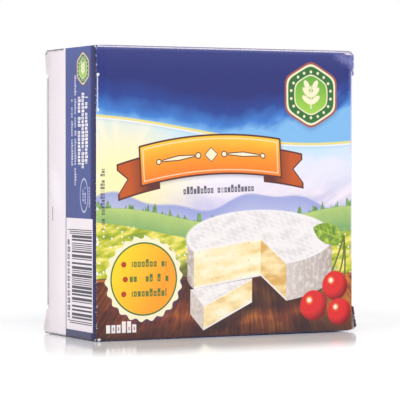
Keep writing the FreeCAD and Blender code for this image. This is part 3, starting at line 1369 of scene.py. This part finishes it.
@dataclass(frozen=True)
class Face:
    """How a print lies on its panel: which way is across, which is up, and where it starts."""

    turn: tuple[float, float, float]
    start: tuple[float, float]
    size: tuple[float, float]

    def spot(self, point: Vector) -> tuple[float, float]:
        """Find where a point of the object lies on the print.

        Args:
            point: The point, in metres.

        Returns:
            How far across and up it is, in millimetres.
        """
        turned = Matrix.Identity(3)
        for angle, axis in zip(self.turn, "XYZ"):
            turned = Matrix.Rotation(math.radians(angle), 3, axis) @ turned
        place = turned @ point / MM
        return (place.x + self.start[0], place.y + self.start[1])

    def place(self, press: Press) -> Place:
        """Give the print's place, from its lower left corner."""
        point = press.object_point(self.turn, self.start)
        return Place(press, point, press.stored("across"), press.stored("up"))


@dataclass(frozen=True)
class Mark:
    """A place where the print is rubbed off or dirty, or where shade, a shadow, a sheen or a highlight is
    painted, as an oval or a bar of that half size.
    """

    across: float
    up: float
    wide: float
    high: float
    turn: float = 0.0
    ink: Ink = Ink.BOARD_AND_HIGHLIGHT
    strength: float = 0.92
    patchy: float = 0.5
    is_bar: bool = False
    soft: float = 0.3

    def cover(self, place: Place, specks: Field) -> Field:
        """1 where the mark is, with an edge as ragged as the specks make it."""
        spot = place.at(self.across, self.up, self.turn)
        shape = slab(spot, self.wide, self.high) if self.is_bar else oval(spot, self.wide, self.high)
        return (shape + (specks - 0.5) * (2 * self.patchy)).inside(self.soft) * self.strength


@dataclass(frozen=True)
class PrintedBoard:
    """Coated white board, printed and varnished, rubbed along its creases, with marks of wear and of
    painted light and shade.
    """

    name: str
    face: Face
    art: Artwork
    marks: tuple[Mark, ...] = ()
    wear: float = 0.35
    low_wear: float = -0.25
    varnish_rough: float = 0.3

    def material(self) -> bpy.types.Material:
        """Build the material.

        Returns:
            The finished board.
        """
        press = Press(self.name)
        place = self.face.place(press)
        picture = self.art.draw(press, place)
        specks = place.mottle(0.7, 3.0, 0.7)
        wear_or_painted_light_mask = self.rim(place, specks)
        picture = picture.lay(Ink.BOARD_AND_HIGHLIGHT, wear_or_painted_light_mask)
        # The marks are wear, and also painted shade, shadows, sheen and highlights; all of them roughen
        # the varnish.
        for mark in self.marks:
            cover = mark.cover(place, specks)
            picture = picture.lay(mark.ink, cover)
            wear_or_painted_light_mask = wear_or_painted_light_mask.most(cover)
        tooth = place.mottle(0.22, 2.0)
        picture = picture.lay(Ink.BOARD_AND_HIGHLIGHT, tooth.rise(0.66, 0.9) * 0.10)
        press.feed(press.surface.inputs["Base Color"], picture)
        half = self.face.size[0] / 2
        dull = (half - abs(place.across - half)).rise(4.8, 3.0) * 0.45
        varnish = place.mottle(9.0, 2.0) * 0.1 + (self.varnish_rough - 0.05)
        press.feed(press.surface.inputs["Roughness"], varnish.most(wear_or_painted_light_mask * 0.7).most(dull + 0.2))
        height = place.mottle(0.22, 2.0) * 0.0016 + place.mottle(2.6, 2.0) * 0.012
        bump = press.node("Bump", {}, {"Strength": 0.5, "Distance": 1.0 * MM, "Height": height})
        press.links.new(bump.socket, press.surface.inputs["Normal"])
        return press.material

    def rim(self, place: Place, specks: Field) -> Field:
        """Find where the ink is gone along the panel's border.

        Args:
            place: The panel's place.
            specks: Fine noise about 0.5.

        Returns:
            1 in the specks that have lost it.
        """
        wide, high = self.face.size
        beside = (wide / 2 - abs(place.across - wide / 2)).least(high - place.up)
        beside = beside.least(place.up + (self.wear - self.low_wear))
        return (beside + (specks - 0.5) * -4.2).rise(self.wear, self.wear - 0.9) * 0.75


@dataclass(frozen=True)
class BareBoard:
    """Raw board, as on cut edges and on the inside: grey-white and fibrous."""

    name: str = "bare_board"

    def material(self) -> bpy.types.Material:
        """Build the material.

        Returns:
            The bare board.
        """
        press = Press(self.name)
        inputs = {"Vector": press.object_point(), "Scale": 3.3, "Detail": 3.0, "Roughness": 0.7}
        fibres = press.node("TexNoise", {}, inputs)
        colour = press.blend(fibres, (0.3, Ink.RAW_EDGE_AND_SHADE), (0.75, Ink.BOARD_AND_HIGHLIGHT))
        press.feed(press.surface.inputs["Base Color"], colour)
        press.surface.inputs["Roughness"].default_value = 0.85
        bump = press.node("Bump", {}, {"Strength": 0.4, "Distance": 0.1 * MM, "Height": fibres})
        press.links.new(bump.socket, press.surface.inputs["Normal"])
        return press.material


# --- The folded board ----------------------------------------------------------------


@dataclass(frozen=True)
class Blank:
    """Sizes of the folded board, taken from the solid's box."""

    board: float = 0.45 * MM
    crease: float = 0.7 * MM
    tuck: float = 1.2 * MM
    end_crease: float = 0.6 * MM
    side_crown: float = 0.3 * MM
    top_crown: float = 0.5 * MM
    flap_gap: float = 0.2 * MM
    shoulder: float = 7.5 * MM
    shoulder_root: float = 8.0 * MM
    high_flare: float = 0.5 * MM
    right_high_flare: float = 0.1 * MM
    low_flare: float = 1.1 * MM
    clip: float = 1.2 * MM
    lift: float = 0.4 * MM
    lift_start: float = 10.0 * MM
    lift_fade: float = 30.0 * MM
    hidden: float = 4.0 * MM
    lip: float = 0.6 * MM
    lip_inset: float = 1.0 * MM
    grid: float = 1.0 * MM
    clearance: float = 0.01 * MM
    half_crease: float = 45.0
    crease_steps: int = 5

    @property
    def half_width(self) -> float:
        """From the middle to the outside of an end flap."""
        return CAD_HIGH.x - self.low_flare

    @property
    def tube_end(self) -> float:
        """From the middle to a raw end of the tube."""
        return self.half_width - self.crease

    @property
    def half_depth(self) -> float:
        """From the middle to the outside of the front panel, at the tube's ends."""
        return CAD_HIGH.y - self.side_crown - self.clearance

    @property
    def end_height(self) -> float:
        """From the base to the outside of the top panel, at the tube's ends."""
        return CAD_HIGH.z - self.top_crown - self.clearance

    @property
    def tuck_face(self) -> float:
        """From the middle to the inside of the back panel, where a flap tucks in."""
        return self.half_depth - self.board

    def meets(self, value: float, level: float) -> bool:
        """Tell whether a number is at a level, within the clearance."""
        return abs(value - level) < self.clearance

    def cells(self, length: float) -> int:
        """How many of the grid's cells go into a length."""
        return round(length / self.grid)


Rule = Callable[[Vector], bool]


class Sheet:
    """A piece of board while it is being shaped: one layer of faces, later thickened."""

    # How near points are merged or count as lying on a cut, and how sharp a bend stays an edge.
    MERGE = 0.005 * MM
    CUT = 0.001 * MM
    SHARP = 40.0

    def __init__(self, blank: Blank, wide: float, high: float, stand: Matrix) -> None:
        """Start from a flat grid about the middle, put in place by a matrix.

        Args:
            blank: The blank that the board is cut from.
            wide: The grid's size along its first axis.
            high: Its size along the second.
            stand: Where it is put, and how it is turned.
        """
        self.mesh = bmesh.new()
        bmesh.ops.create_grid(self.mesh, x_segments=blank.cells(wide), y_segments=blank.cells(high),
                              size=0.5, matrix=stand @ Matrix.Diagonal((wide, high, 1, 1)))

    def border(self, rule: Rule) -> list[bmesh.types.BMEdge]:
        """The open edges whose two ends both meet a rule."""
        return [edge for edge in self.mesh.edges
                if edge.is_boundary and all(rule(vert.co) for vert in edge.verts)]

    def roll(self, rule: Rule, centre: Vector, axis: Vector, degrees: float, steps: int) -> None:
        """Bend the board on from an open edge, about an axis.

        Args:
            rule: Which open edges to go on from.
            centre: A point of the axis.
            axis: Its direction.
            degrees: How far to bend, by the right-hand rule.
            steps: Into how many strips.
        """
        edges = self.border(rule)
        verts = list(dict.fromkeys(vert for edge in edges for vert in edge.verts))
        bmesh.ops.spin(self.mesh, geom=verts + edges, cent=centre, axis=axis, dvec=Vector(),
                       angle=math.radians(degrees), steps=steps, use_merge=False, use_duplicate=False)

    def extend(self, rule: Rule, by: Vector, steps: int = 1) -> None:
        """Carry the board straight on from an open edge.

        Args:
            rule: Which open edges to go on from.
            by: How far, in all.
            steps: Into how many strips.
        """
        edges = self.border(rule)
        for _ in range(steps):
            made = bmesh.ops.extrude_edge_only(self.mesh, edges=edges)["geom"]
            moved = [item for item in made if isinstance(item, bmesh.types.BMVert)]
            bmesh.ops.translate(self.mesh, verts=moved, vec=by / steps)
            edges = [item for item in made if isinstance(item, bmesh.types.BMEdge)
                     and all(vert in moved for vert in item.verts)]

    def cut(self, point: Vector, outwards: Vector, drop: bool = False) -> None:
        """Cut the board along a plane, and drop what is beyond it if asked."""
        everything = self.mesh.verts[:] + self.mesh.edges[:] + self.mesh.faces[:]
        bmesh.ops.bisect_plane(self.mesh, geom=everything, dist=self.CUT, plane_co=point,
                               plane_no=outwards, clear_outer=drop)

    def move(self, shift: Callable[[Vector], Vector]) -> None:
        """Shift each point by what a function of its place gives."""
        for vert in self.mesh.verts:
            vert.co += shift(vert.co)

    def half_turn(self, axis: str, centre: Vector) -> None:
        """Turn the board half round about an axis through a point."""
        bmesh.ops.rotate(self.mesh, verts=self.mesh.verts[:], cent=centre,
                         matrix=Matrix.Rotation(math.pi, 3, axis))

    def finish(self, name: str, thickness: float, outwards: Vector, board: PrintedBoard,
               bare: bpy.types.Material, inked: Rule = lambda point: False) -> bpy.types.Object:
        """Thicken the board inwards and make it a piece of the carton.

        Args:
            name: The piece's name.
            thickness: The board's.
            outwards: Which way the printed side mostly faces.
            board: The printed side's finish.
            bare: The finish of the cut edges and the inside.
            inked: Which of those have taken ink.

        Returns:
            The piece.
        """
        bm = self.mesh
        bmesh.ops.remove_doubles(bm, verts=bm.verts[:], dist=self.MERGE)
        bmesh.ops.recalc_face_normals(bm, faces=bm.faces[:])
        if sum(face.normal.dot(outwards) * face.calc_area() for face in bm.faces) < 0:
            bmesh.ops.reverse_faces(bm, faces=bm.faces[:])
        printed = set(bm.verts)
        bmesh.ops.solidify(bm, geom=bm.faces[:], thickness=thickness)
        for face in bm.faces:
            face.smooth = True
            is_printed = all(vert in printed for vert in face.verts) or inked(face.calc_center_median())
            face.material_index = 0 if is_printed else 1
        mesh = bpy.data.meshes.new(name)
        bm.to_mesh(mesh)
        bm.free()
        mesh.set_sharp_from_angle(angle=math.radians(self.SHARP))
        spots = [board.face.spot(vert.co) for vert in mesh.vertices]
        for index, stored in enumerate(("across", "up")):
            values = [spot[index] for spot in spots]
            mesh.attributes.new(stored, "FLOAT", "POINT").data.foreach_set("value", values)
        mesh.materials.append(board.material())
        mesh.materials.append(bare)
        piece = bpy.data.objects.new(name, mesh)
        bpy.context.collection.objects.link(piece)
        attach(piece, BODY)
        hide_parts(NODE)
        LOG.info("%s: %d faces", name, len(mesh.polygons))
        return piece


@dataclass(frozen=True)
class Handling:
    """What use has done to the shape: swollen panels, a lifted crease and crushed corners."""

    # Sets the crumpling, which would otherwise follow the clock.
    SEED = 3

    blank: Blank
    ripple: float = 0.05 * MM
    ripple_size: float = 14.0 * MM
    crush: float = 0.32 * MM
    crush_reach: float = 4.5 * MM
    crush_grain: float = 1.3 * MM
    crush_wobble: float = 0.8

    def lift(self, point: Vector) -> Vector:
        """Raise the right end of the lower front crease, and less of the board above it.

        Args:
            point: A point of the board.

        Returns:
            How far it moves.
        """
        blank = self.blank
        run = blank.half_width + blank.lift_start
        deep = 2 * blank.half_depth
        line = math.hypot(run, deep)
        beyond = ((point.x + blank.lift_start) * deep - (point.y + blank.half_depth) * run) / line
        share = max(0.0, beyond) / (run * deep / line)
        fade = max(0.0, 1 - point.z / blank.lift_fade)
        return Vector((0, 0, blank.lift * share * fade * fade))

    def crumple(self, point: Vector) -> Vector:
        """Crumple the board round four of the corners, each as strongly as it was knocked.

        Args:
            point: A point of the board.

        Returns:
            How far it moves.
        """
        blank = self.blank
        middle = Vector((0, 0, blank.end_height / 2))
        shift = Vector()
        knocks = ((1, -1, 1, 0.5), (-1, -1, 1, 0.4), (-1, -1, 0, 0.3), (-1, 1, 1, 0.5))
        for right, back, high, strength in knocks:
            corner = Vector((right * blank.tube_end, back * blank.half_depth, high * blank.end_height))
            near = max(0.0, 1 - (point - corner).length / self.crush_reach)
            if near > 0:
                wobble = noise.noise_vector(point / self.crush_grain) * self.crush_wobble
                inwards = (middle - corner).normalized()
                shift += (wobble + inwards) * self.crush * strength * near * near
        return shift

    def shift(self, point: Vector) -> Vector:
        """Everything that moves a point of any panel alike, so that shared edges stay shut."""
        return self.lift(point) + self.crumple(point)

    def swell(self, point: Vector, along: float, half_along: float, over: float, half_over: float,
              crown: float) -> float:
        """How far a panel stands out at a point.

        Args:
            point: The point, for the panel's own ripple.
            along: Its distance from the panel's middle along the tube.
            half_along: Half the panel's length that way.
            over: Its distance from the middle the other way.
            half_over: Half the panel's length that way.
            crown: How far the middle stands out.

        Returns:
            The distance, 0 at the panel's creases and ends.
        """
        flat_along = max(0.0, 1 - (along / half_along) ** 2)
        flat_over = max(0.0, 1 - (over / half_over) ** 2)
        ripple = self.ripple * noise.noise(point / self.ripple_size) * min(1.0, 4 * flat_along * flat_over)
        return min(crown, (crown - self.ripple) * flat_along * flat_over + ripple)


@dataclass(frozen=True)
class Panel(abc.ABC):
    """What every panel of the carton has. Some are built as the panel opposite, then turned."""

    blank: Blank
    handling: Handling
    name: str
    finish: PrintedBoard
    is_turned: bool = False

    @abc.abstractmethod
    def build(self, bare: bpy.types.Material) -> bpy.types.Object:
        """Build the panel, with bare board for its cut edges and its inside."""

    def roll_crease(self, sheet: Sheet, rule: Rule, centre: Vector, axis: Vector, way: int) -> None:
        """Go on from an edge into the panel's half of a crease, one way or the other about an axis."""
        blank = self.blank
        sheet.roll(rule, centre, axis, way * blank.half_crease, blank.crease_steps)


@dataclass(frozen=True)
class WidePanel(Panel):
    """The front or the back panel, with its half of each crease beside it."""

    # How far off the back reads the ripple, so that it isn't the front's over again.
    OTHER_RIPPLE = 0.1

    def build(self, bare: bpy.types.Material) -> bpy.types.Object:
        """Build the panel as the front one, and turn it about if it is the back.

        Args:
            bare: The finish of the cut edges and the inside.

        Returns:
            The panel.
        """
        blank = self.blank
        low, high = blank.crease, blank.end_height - blank.crease
        middle = (low + high) / 2
        reach = blank.tube_end - blank.end_crease
        upright = Matrix.Translation((0, -blank.half_depth, middle)) @ Matrix.Rotation(math.pi / 2, 4, "X")
        sheet = Sheet(blank, 2 * reach, high - low, upright)
        for side in (-1, 1):
            sheet.extend(lambda point: blank.meets(point.x, side * reach),
                         Vector((side * blank.end_crease, 0, 0)))
        inner = -blank.half_depth + blank.crease
        self.roll_crease(sheet, lambda point: point.z > high - blank.clearance, Vector((0, inner, high)),
                         RIGHTWARDS, -1)
        self.roll_crease(sheet, lambda point: blank.meets(point.z, low), Vector((0, inner, low)),
                         RIGHTWARDS, 1)
        if self.is_turned:
            sheet.extend(self.is_lip, Vector((blank.lip, 0, 0)))
        edge = -blank.tube_end
        self.roll_crease(sheet, lambda point: point.x < edge + blank.clearance and low - blank.clearance
                         < point.z < high + blank.clearance, Vector((edge, inner, 0)), UPWARDS, -1)
        other = BACKWARDS * (self.OTHER_RIPPLE * self.is_turned)
        sheet.move(lambda point: Vector((0, -self.handling.swell(
            point + other, point.x, blank.tube_end, point.z - middle, (high - low) / 2,
            blank.side_crown), 0)) if point.y < inner else Vector())
        if self.is_turned:
            sheet.half_turn("Z", Vector())
        sheet.move(self.handling.shift)
        outwards = BACKWARDS if self.is_turned else -BACKWARDS
        return sheet.finish(self.name, blank.board, outwards, self.finish, bare)

    def is_lip(self, point: Vector) -> bool:
        """Tell whether the back panel's lip goes on from a point: between the shoulders."""
        blank = self.blank
        low = blank.shoulder + blank.lip_inset
        return blank.meets(point.x, blank.tube_end) and low < point.z < blank.end_height - low


@dataclass(frozen=True)
class NarrowPanel(Panel):
    """The top or the base panel, with its half creases and the bend into each dust flap."""

    dust_steps: int = 6

    def build(self, bare: bpy.types.Material) -> bpy.types.Object:
        """Build the panel as the top one, and turn it over if it is the base.

        Args:
            bare: The finish of the cut edges and the inside.

        Returns:
            The panel.
        """
        blank = self.blank
        top = blank.end_height
        reach = blank.tube_end - blank.end_crease
        half = blank.half_depth - blank.crease
        sheet = Sheet(blank, 2 * reach, 2 * half, Matrix.Translation((0, 0, top)))
        low = top - blank.end_crease
        for side in (-1, 1):
            sheet.roll(lambda point: blank.meets(point.x, side * reach), Vector((side * reach, 0, low)),
                       BACKWARDS, side * 90, self.dust_steps)
            sheet.extend(lambda point: blank.meets(point.x, side * blank.tube_end)
                         and point.z < low + blank.clearance, UPWARDS * -blank.hidden)
        centre = top - blank.crease
        for side in (-1, 1):
            self.roll_crease(sheet, lambda point: blank.meets(point.y, side * half)
                             and point.z > top - blank.clearance, Vector((0, side * half, centre)),
                             RIGHTWARDS, -side)
        if self.is_turned:
            sheet.half_turn("X", Vector((0, 0, top / 2)))
        else:
            sheet.move(lambda point: Vector((0, 0, self.handling.swell(
                point, point.x, reach, point.y, half, blank.top_crown))) if point.z > centre else Vector())
        sheet.move(self.handling.shift)
        outwards = -UPWARDS if self.is_turned else UPWARDS
        return sheet.finish(self.name, blank.board, outwards, self.finish, bare)


@dataclass(frozen=True)
class EndFlap(Panel):
    """An end flap: its half of the hinge crease, its face, its tuck and its two shoulders."""

    tuck_steps: int = 9
    shoulder_steps: int = 3

    def flare(self, point: Vector) -> Vector:
        """Spring a shoulder outwards: more towards its tip, nothing at its root, most at the foot.

        Args:
            point: A point of the left flap.

        Returns:
            How far it moves.
        """
        blank = self.blank
        low, high = blank.flap_gap, blank.end_height - blank.flap_gap
        root = blank.half_depth - blank.shoulder_root
        out = max(0.0, (point.y - root) / blank.shoulder_root)
        up = max(0.0, 1 - min(point.z - low, high - point.z) / blank.shoulder)
        most = blank.right_high_flare if self.is_turned else blank.high_flare
        if point.z < (low + high) / 2:
            most = blank.low_flare - blank.clearance
        return Vector((-most * min(1.0, out) ** 1.5 * min(1.0, up * 1.15), 0, 0))

    def build(self, bare: bpy.types.Material) -> bpy.types.Object:
        """Build the flap as the left one, and turn it about if it is the right.

        Args:
            bare: The finish of the cut edges and the inside.

        Returns:
            The flap.
        """
        blank = self.blank
        low, high = blank.flap_gap, blank.end_height - blank.flap_gap
        front = -blank.half_depth + blank.crease
        back = blank.tuck_face - blank.tuck
        middle = Matrix.Translation((-blank.half_width, (front + back) / 2, (low + high) / 2))
        sheet = Sheet(blank, high - low, back - front, middle @ Matrix.Rotation(math.pi / 2, 4, "Y"))
        for level in (low + blank.shoulder, high - blank.shoulder):
            sheet.cut(UPWARDS * level, UPWARDS)
        relief = blank.crease - blank.flap_gap
        for level, way in ((low, -1), (high, 1)):
            sheet.cut(Vector((0, front, level - way * relief)), Vector((0, -1, way)), drop=True)
        inner = -blank.half_width + blank.crease
        self.roll_crease(sheet, lambda point: point.y < front + blank.clearance,
                         Vector((inner, front, 0)), UPWARDS, 1)
        near, far = low + blank.shoulder - blank.clearance, high - blank.shoulder + blank.clearance

        def is_back_edge(point: Vector) -> bool:
            """Tell whether a point is on the face's back edge."""
            return blank.meets(point.y, back) and point.x < inner

        axis = Vector((-blank.half_width + blank.tuck, back, 0))
        sheet.roll(lambda point: is_back_edge(point) and near < point.z < far, axis, UPWARDS, -90,
                   self.tuck_steps)
        sheet.extend(lambda point: point.y > blank.tuck_face - blank.clearance
                     and blank.meets(point.x, axis.x), RIGHTWARDS * blank.hidden)
        for wanted in (lambda point: point.z < near + 2 * blank.clearance,
                       lambda point: point.z > far - 2 * blank.clearance):
            sheet.extend(lambda point: is_back_edge(point) and wanted(point),
                         BACKWARDS * (blank.half_depth - back), self.shoulder_steps)
        for level, way in ((low, -1), (high, 1)):
            sheet.cut(Vector((0, blank.half_depth - blank.clip, level)), Vector((0, 1, way)), drop=True)
        sheet.move(self.flare)
        if self.is_turned:
            sheet.half_turn("Z", Vector())
        sheet.move(self.handling.shift)
        outwards = RIGHTWARDS if self.is_turned else -RIGHTWARDS
        return sheet.finish(self.name, blank.board, outwards, self.finish, bare,
                            lambda point: self.is_turned and point.y < -blank.tuck_face)


# --- The studio --------------------------------------------------------------------


@dataclass(frozen=True)
class Studio:
    """A white table, soft light all round, and the camera."""

    yaw: float = 26.847
    pitch: float = 1.091
    distance: float = 0.68246
    camera_up: float = 0.05411
    aim_aside: float = -0.00029
    lens: float = 198.03
    sensor: float = 36.0
    near_clip: float = 0.01
    floor_half: float = 8.0
    floor_white: float = 0.97
    gloss_rough: float = 0.12
    gloss_reach_mm: tuple[float, float] = (20.0, 58.0)
    ambient: float = 0.6
    sun_power: float = 1.85
    sun_angle: float = 85.0
    sun_from: tuple[float, float, float] = (-0.34, -0.42, 0.82)

    def camera(self) -> None:
        """Stand the camera to the left of the front, level with the carton's upper half."""
        data = bpy.data.cameras.new("camera")
        data.lens = self.lens
        data.sensor_width = self.sensor
        data.clip_start = self.near_clip
        camera = bpy.data.objects.new("camera", data)
        yaw = math.radians(self.yaw)
        camera.location = (self.aim_aside - self.distance * math.sin(yaw),
                           -self.distance * math.cos(yaw), self.camera_up)
        camera.rotation_euler = (math.pi / 2 - math.radians(self.pitch), 0, -yaw)
        bpy.context.collection.objects.link(camera)
        bpy.context.scene.camera = camera

    def floor(self) -> None:
        """Lay a wide white floor, glossy only round the carton's foot."""
        bm = bmesh.new()
        bmesh.ops.create_grid(bm, x_segments=2, y_segments=2, size=self.floor_half)
        mesh = bpy.data.meshes.new("floor")
        bm.to_mesh(mesh)
        bm.free()
        press = Press("floor")
        split = press.node("SeparateXYZ", {}, (press.object_point(),)).socket.node
        across, deep = (abs(Field(press, split.outputs[axis])) for axis in (0, 1))
        outside = ((across - WIDE_MM / 2).most(0.0), (deep - DEEP_MM / 2).most(0.0), 0.0)
        beyond = press.node("CombineXYZ", {}, outside)
        length = press.node("VectorMath", {"operation": "LENGTH"}, (beyond,)).socket.node
        matte = press.nodes.new("ShaderNodeBsdfPrincipled")
        white = (self.floor_white, self.floor_white, self.floor_white, 1.0)
        for surface, rough, specular in ((press.surface, self.gloss_rough, 0.5), (matte, 1.0, 0.0)):
            surface.inputs["Base Color"].default_value = white
            surface.inputs["Roughness"].default_value = rough
            surface.inputs["Specular IOR Level"].default_value = specular
        both = press.nodes.new("ShaderNodeMixShader")
        fade = Field(press, length.outputs["Value"]).rise(*self.gloss_reach_mm)
        press.links.new(fade.socket, both.inputs[0])
        press.links.new(press.surface.outputs[0], both.inputs[1])
        press.links.new(matte.outputs[0], both.inputs[2])
        press.links.new(both.outputs[0], press.nodes["Material Output"].inputs["Surface"])
        mesh.materials.append(press.material)
        floor = bpy.data.objects.new("floor", mesh)
        bpy.context.collection.objects.link(floor)

    def sun(self) -> None:
        """Light from the upper front left, evenly over the whole floor, as from a wide softbox."""
        data = bpy.data.lights.new("softbox", "SUN")
        data.energy = self.sun_power
        data.angle = math.radians(self.sun_angle)
        sun = bpy.data.objects.new("softbox", data)
        sun.rotation_euler = Vector(self.sun_from).to_track_quat("Z", "Y").to_euler()
        bpy.context.collection.objects.link(sun)

    def world(self) -> None:
        """Light evenly from all round, and show white behind the carton."""
        world = bpy.data.worlds.new("studio")
        bpy.context.scene.world = world
        world.use_nodes = True
        nodes, links = world.node_tree.nodes, world.node_tree.links
        background = nodes["Background"]
        background.inputs["Color"].default_value = (1, 1, 1, 1)
        path = nodes.new("ShaderNodeLightPath")
        seen = nodes.new("ShaderNodeMath")
        seen.operation = "MAXIMUM"
        links.new(path.outputs["Is Camera Ray"], seen.inputs[0])
        links.new(path.outputs["Is Glossy Ray"], seen.inputs[1])
        strength = nodes.new("ShaderNodeMapRange")
        strength.inputs["To Min"].default_value = self.ambient
        strength.inputs["To Max"].default_value = 1.0
        links.new(seen.outputs[0], strength.inputs["Value"])
        links.new(strength.outputs[0], background.inputs["Strength"])

    def build(self) -> None:
        """Set up the camera, the floor and the light."""
        bpy.context.scene.view_settings.view_transform = "Standard"
        self.camera()
        self.floor()
        self.world()
        self.sun()


# --- The whole carton -----------------------------------------------------------------


def faces() -> dict[str, Face]:
    """Say how the print lies on each side of the carton.

    Returns:
        The faces, by side.
    """
    wide, deep, high = WIDE_MM, DEEP_MM, HIGH_MM
    return {
        "front": Face((-90, 0, 0), (wide / 2, 0), (wide, high)),
        "back": Face((-90, 180, 0), (wide / 2, 0), (wide, high)),
        "left": Face((-90, 90, 0), (deep / 2, 0), (deep, high)),
        "right": Face((-90, -90, 0), (deep / 2, 0), (deep, high)),
        "top": Face((0, 0, 0), (wide / 2, deep / 2), (wide, deep)),
        "base": Face((180, 0, 0), (wide / 2, deep / 2), (wide, deep)),
    }


def front_wear_and_painted_light() -> tuple[Mark, ...]:
    """The wear and the painted light on the front.

    Returns:
        Nicks and a pale line down the left edge, then a painted sheen, a painted sheen line and a painted
        highlight line along the crease above, a lilac patch with white and dark specks at the upper right
        corner, lighter lines down the right edge, and a painted shadow line along the foot.
    """
    middle = WIDE_MM / 2
    nicks = tuple(Mark(0.5, level, 0.3, 0.5) for level in (48.7, 39.3, 30.2, 28.7, 20.1))
    return nicks + (
        Mark(0.6, 73.5, 0.13, 5.3, patchy=0.1, is_bar=True, strength=0.8),
        Mark(0.7, 68.3, 0.35, 0.5),
        Mark(0.8, 78.7, 0.4, 0.4),
        Mark(1.0, 0.6, 0.7, 0.3, 20),
        # Painted light along the crease to the top: a soft lilac sheen, a mauve sheen line and a white
        # highlight line.
        Mark(middle, 87.4, 43.5, 0.2, ink=Ink.LILAC, is_bar=True, strength=0.55, patchy=0.5, soft=3.2),
        Mark(middle, 87.4, 43.5, 0.28, ink=Ink.MAUVE, patchy=0.15, is_bar=True, strength=0.8),
        Mark(middle, 86.98, 43.2, 0.13, patchy=0.12, is_bar=True, strength=0.85),
        Mark(84.9, 84.8, 3.2, 1.3, -24, Ink.LILAC, 0.34, 1.4, soft=2.6),
        Mark(86.0, 86.5, 1.2, 0.3, -8, patchy=0.7),
        Mark(86.6, 86.9, 1.4, 0.2, -4, Ink.BARS_AND_SHADOW, 0.5, 0.9),
        Mark(87.3, 72.0, 0.3, 16.0, ink=Ink.LILAC, strength=0.6, patchy=0.7, is_bar=True, soft=2.6),
        Mark(87.15, 52.0, 0.2, 29.0, ink=Ink.MIST, patchy=0.12, strength=0.65, is_bar=True),
        # Painted shadow: a dark line along the foot.
        Mark(60.0, 0.3, 27.5, 0.2, ink=Ink.BARS_AND_SHADOW, patchy=0.1, strength=0.7, is_bar=True),
    )


def top_painted_sheen() -> tuple[Mark, ...]:
    """The painted sheen on the top: a mauve line along the front crease."""
    return (Mark(WIDE_MM / 2, 0.6, 43.5, 0.45, ink=Ink.MAUVE, patchy=0.2, is_bar=True, strength=0.8),)


def left_painted_light() -> tuple[Mark, ...]:
    """The painted light and shade on the left flap.

    Returns:
        Painted shadow lines at the head and beside the tuck, a painted highlight and painted grey shade at
        the shoulders on the bare strip, and a painted shadow line at the foot.
    """
    return (
        # Painted shadow lines under the head, at its corner and beside the tuck.
        Mark(7.6, 87.2, 6.2, 0.35, ink=Ink.BARS_AND_SHADOW, patchy=0.8, is_bar=True, strength=0.85),
        Mark(0.9, 86.4, 0.9, 0.5, ink=Ink.BARS_AND_SHADOW, patchy=0.7, strength=0.75),
        Mark(1.85, 43.5, 0.2, 35.5, ink=Ink.BARS_AND_SHADOW, patchy=0.3, is_bar=True, strength=0.75),
        # A painted highlight on the bare strip, then painted grey shade at its upper and lower shoulders.
        Mark(8.0, 44.5, 3.4, 6.0, 24, Ink.BOARD_AND_HIGHLIGHT, 0.5, 1.6, soft=4.0),
        Mark(1.6, 84.0, 2.6, 2.4, 12, Ink.RAW_EDGE_AND_SHADE, 0.4, 1.0, soft=3.0),
        Mark(1.2, 3.0, 2.4, 2.2, 0, Ink.RAW_EDGE_AND_SHADE, 0.7, 1.0, soft=3.0),
        # Painted shadow: a dark line along the foot.
        Mark(19.0, 0.3, 18.5, 0.3, ink=Ink.BARS_AND_SHADOW, patchy=0.4, is_bar=True, strength=0.6),
    )


def carton_panels() -> tuple[Panel, ...]:
    """List the carton's panels, each with its print.

    Returns:
        The six panels, in the order they are built.
    """
    blank = Blank()
    handling = Handling(blank)
    side = faces()
    front = PrintedBoard("front_print", side["front"], FrontPrint(), front_wear_and_painted_light(), 0.1)
    back = PrintedBoard("back_print", side["back"], BackPrint())
    top = PrintedBoard("top_print", side["top"], TopPrint(), top_painted_sheen())
    base = PrintedBoard("base_print", side["base"], BasePrint())
    left = PrintedBoard("left_print", side["left"], EndPrint(), left_painted_light())
    right = PrintedBoard("right_print", side["right"], EndPrint(bleed=True))
    return (
        WidePanel(blank, handling, "front_panel", front),
        WidePanel(blank, handling, "back_panel", back, is_turned=True),
        NarrowPanel(blank, handling, "top_panel", top),
        NarrowPanel(blank, handling, "base_panel", base, is_turned=True),
        EndFlap(blank, handling, "left_flap", left),
        EndFlap(blank, handling, "right_flap", right, is_turned=True),
    )


def main() -> None:
    """Build the studio, then the carton panel by panel."""
    logging.basicConfig(level=logging.INFO, format="%(name)s: %(message)s")
    noise.seed_set(Handling.SEED)
    Studio().build()
    bare = BareBoard().material()
    for panel in carton_panels():
        panel.build(bare)


if __name__ == "__main__":
    main()
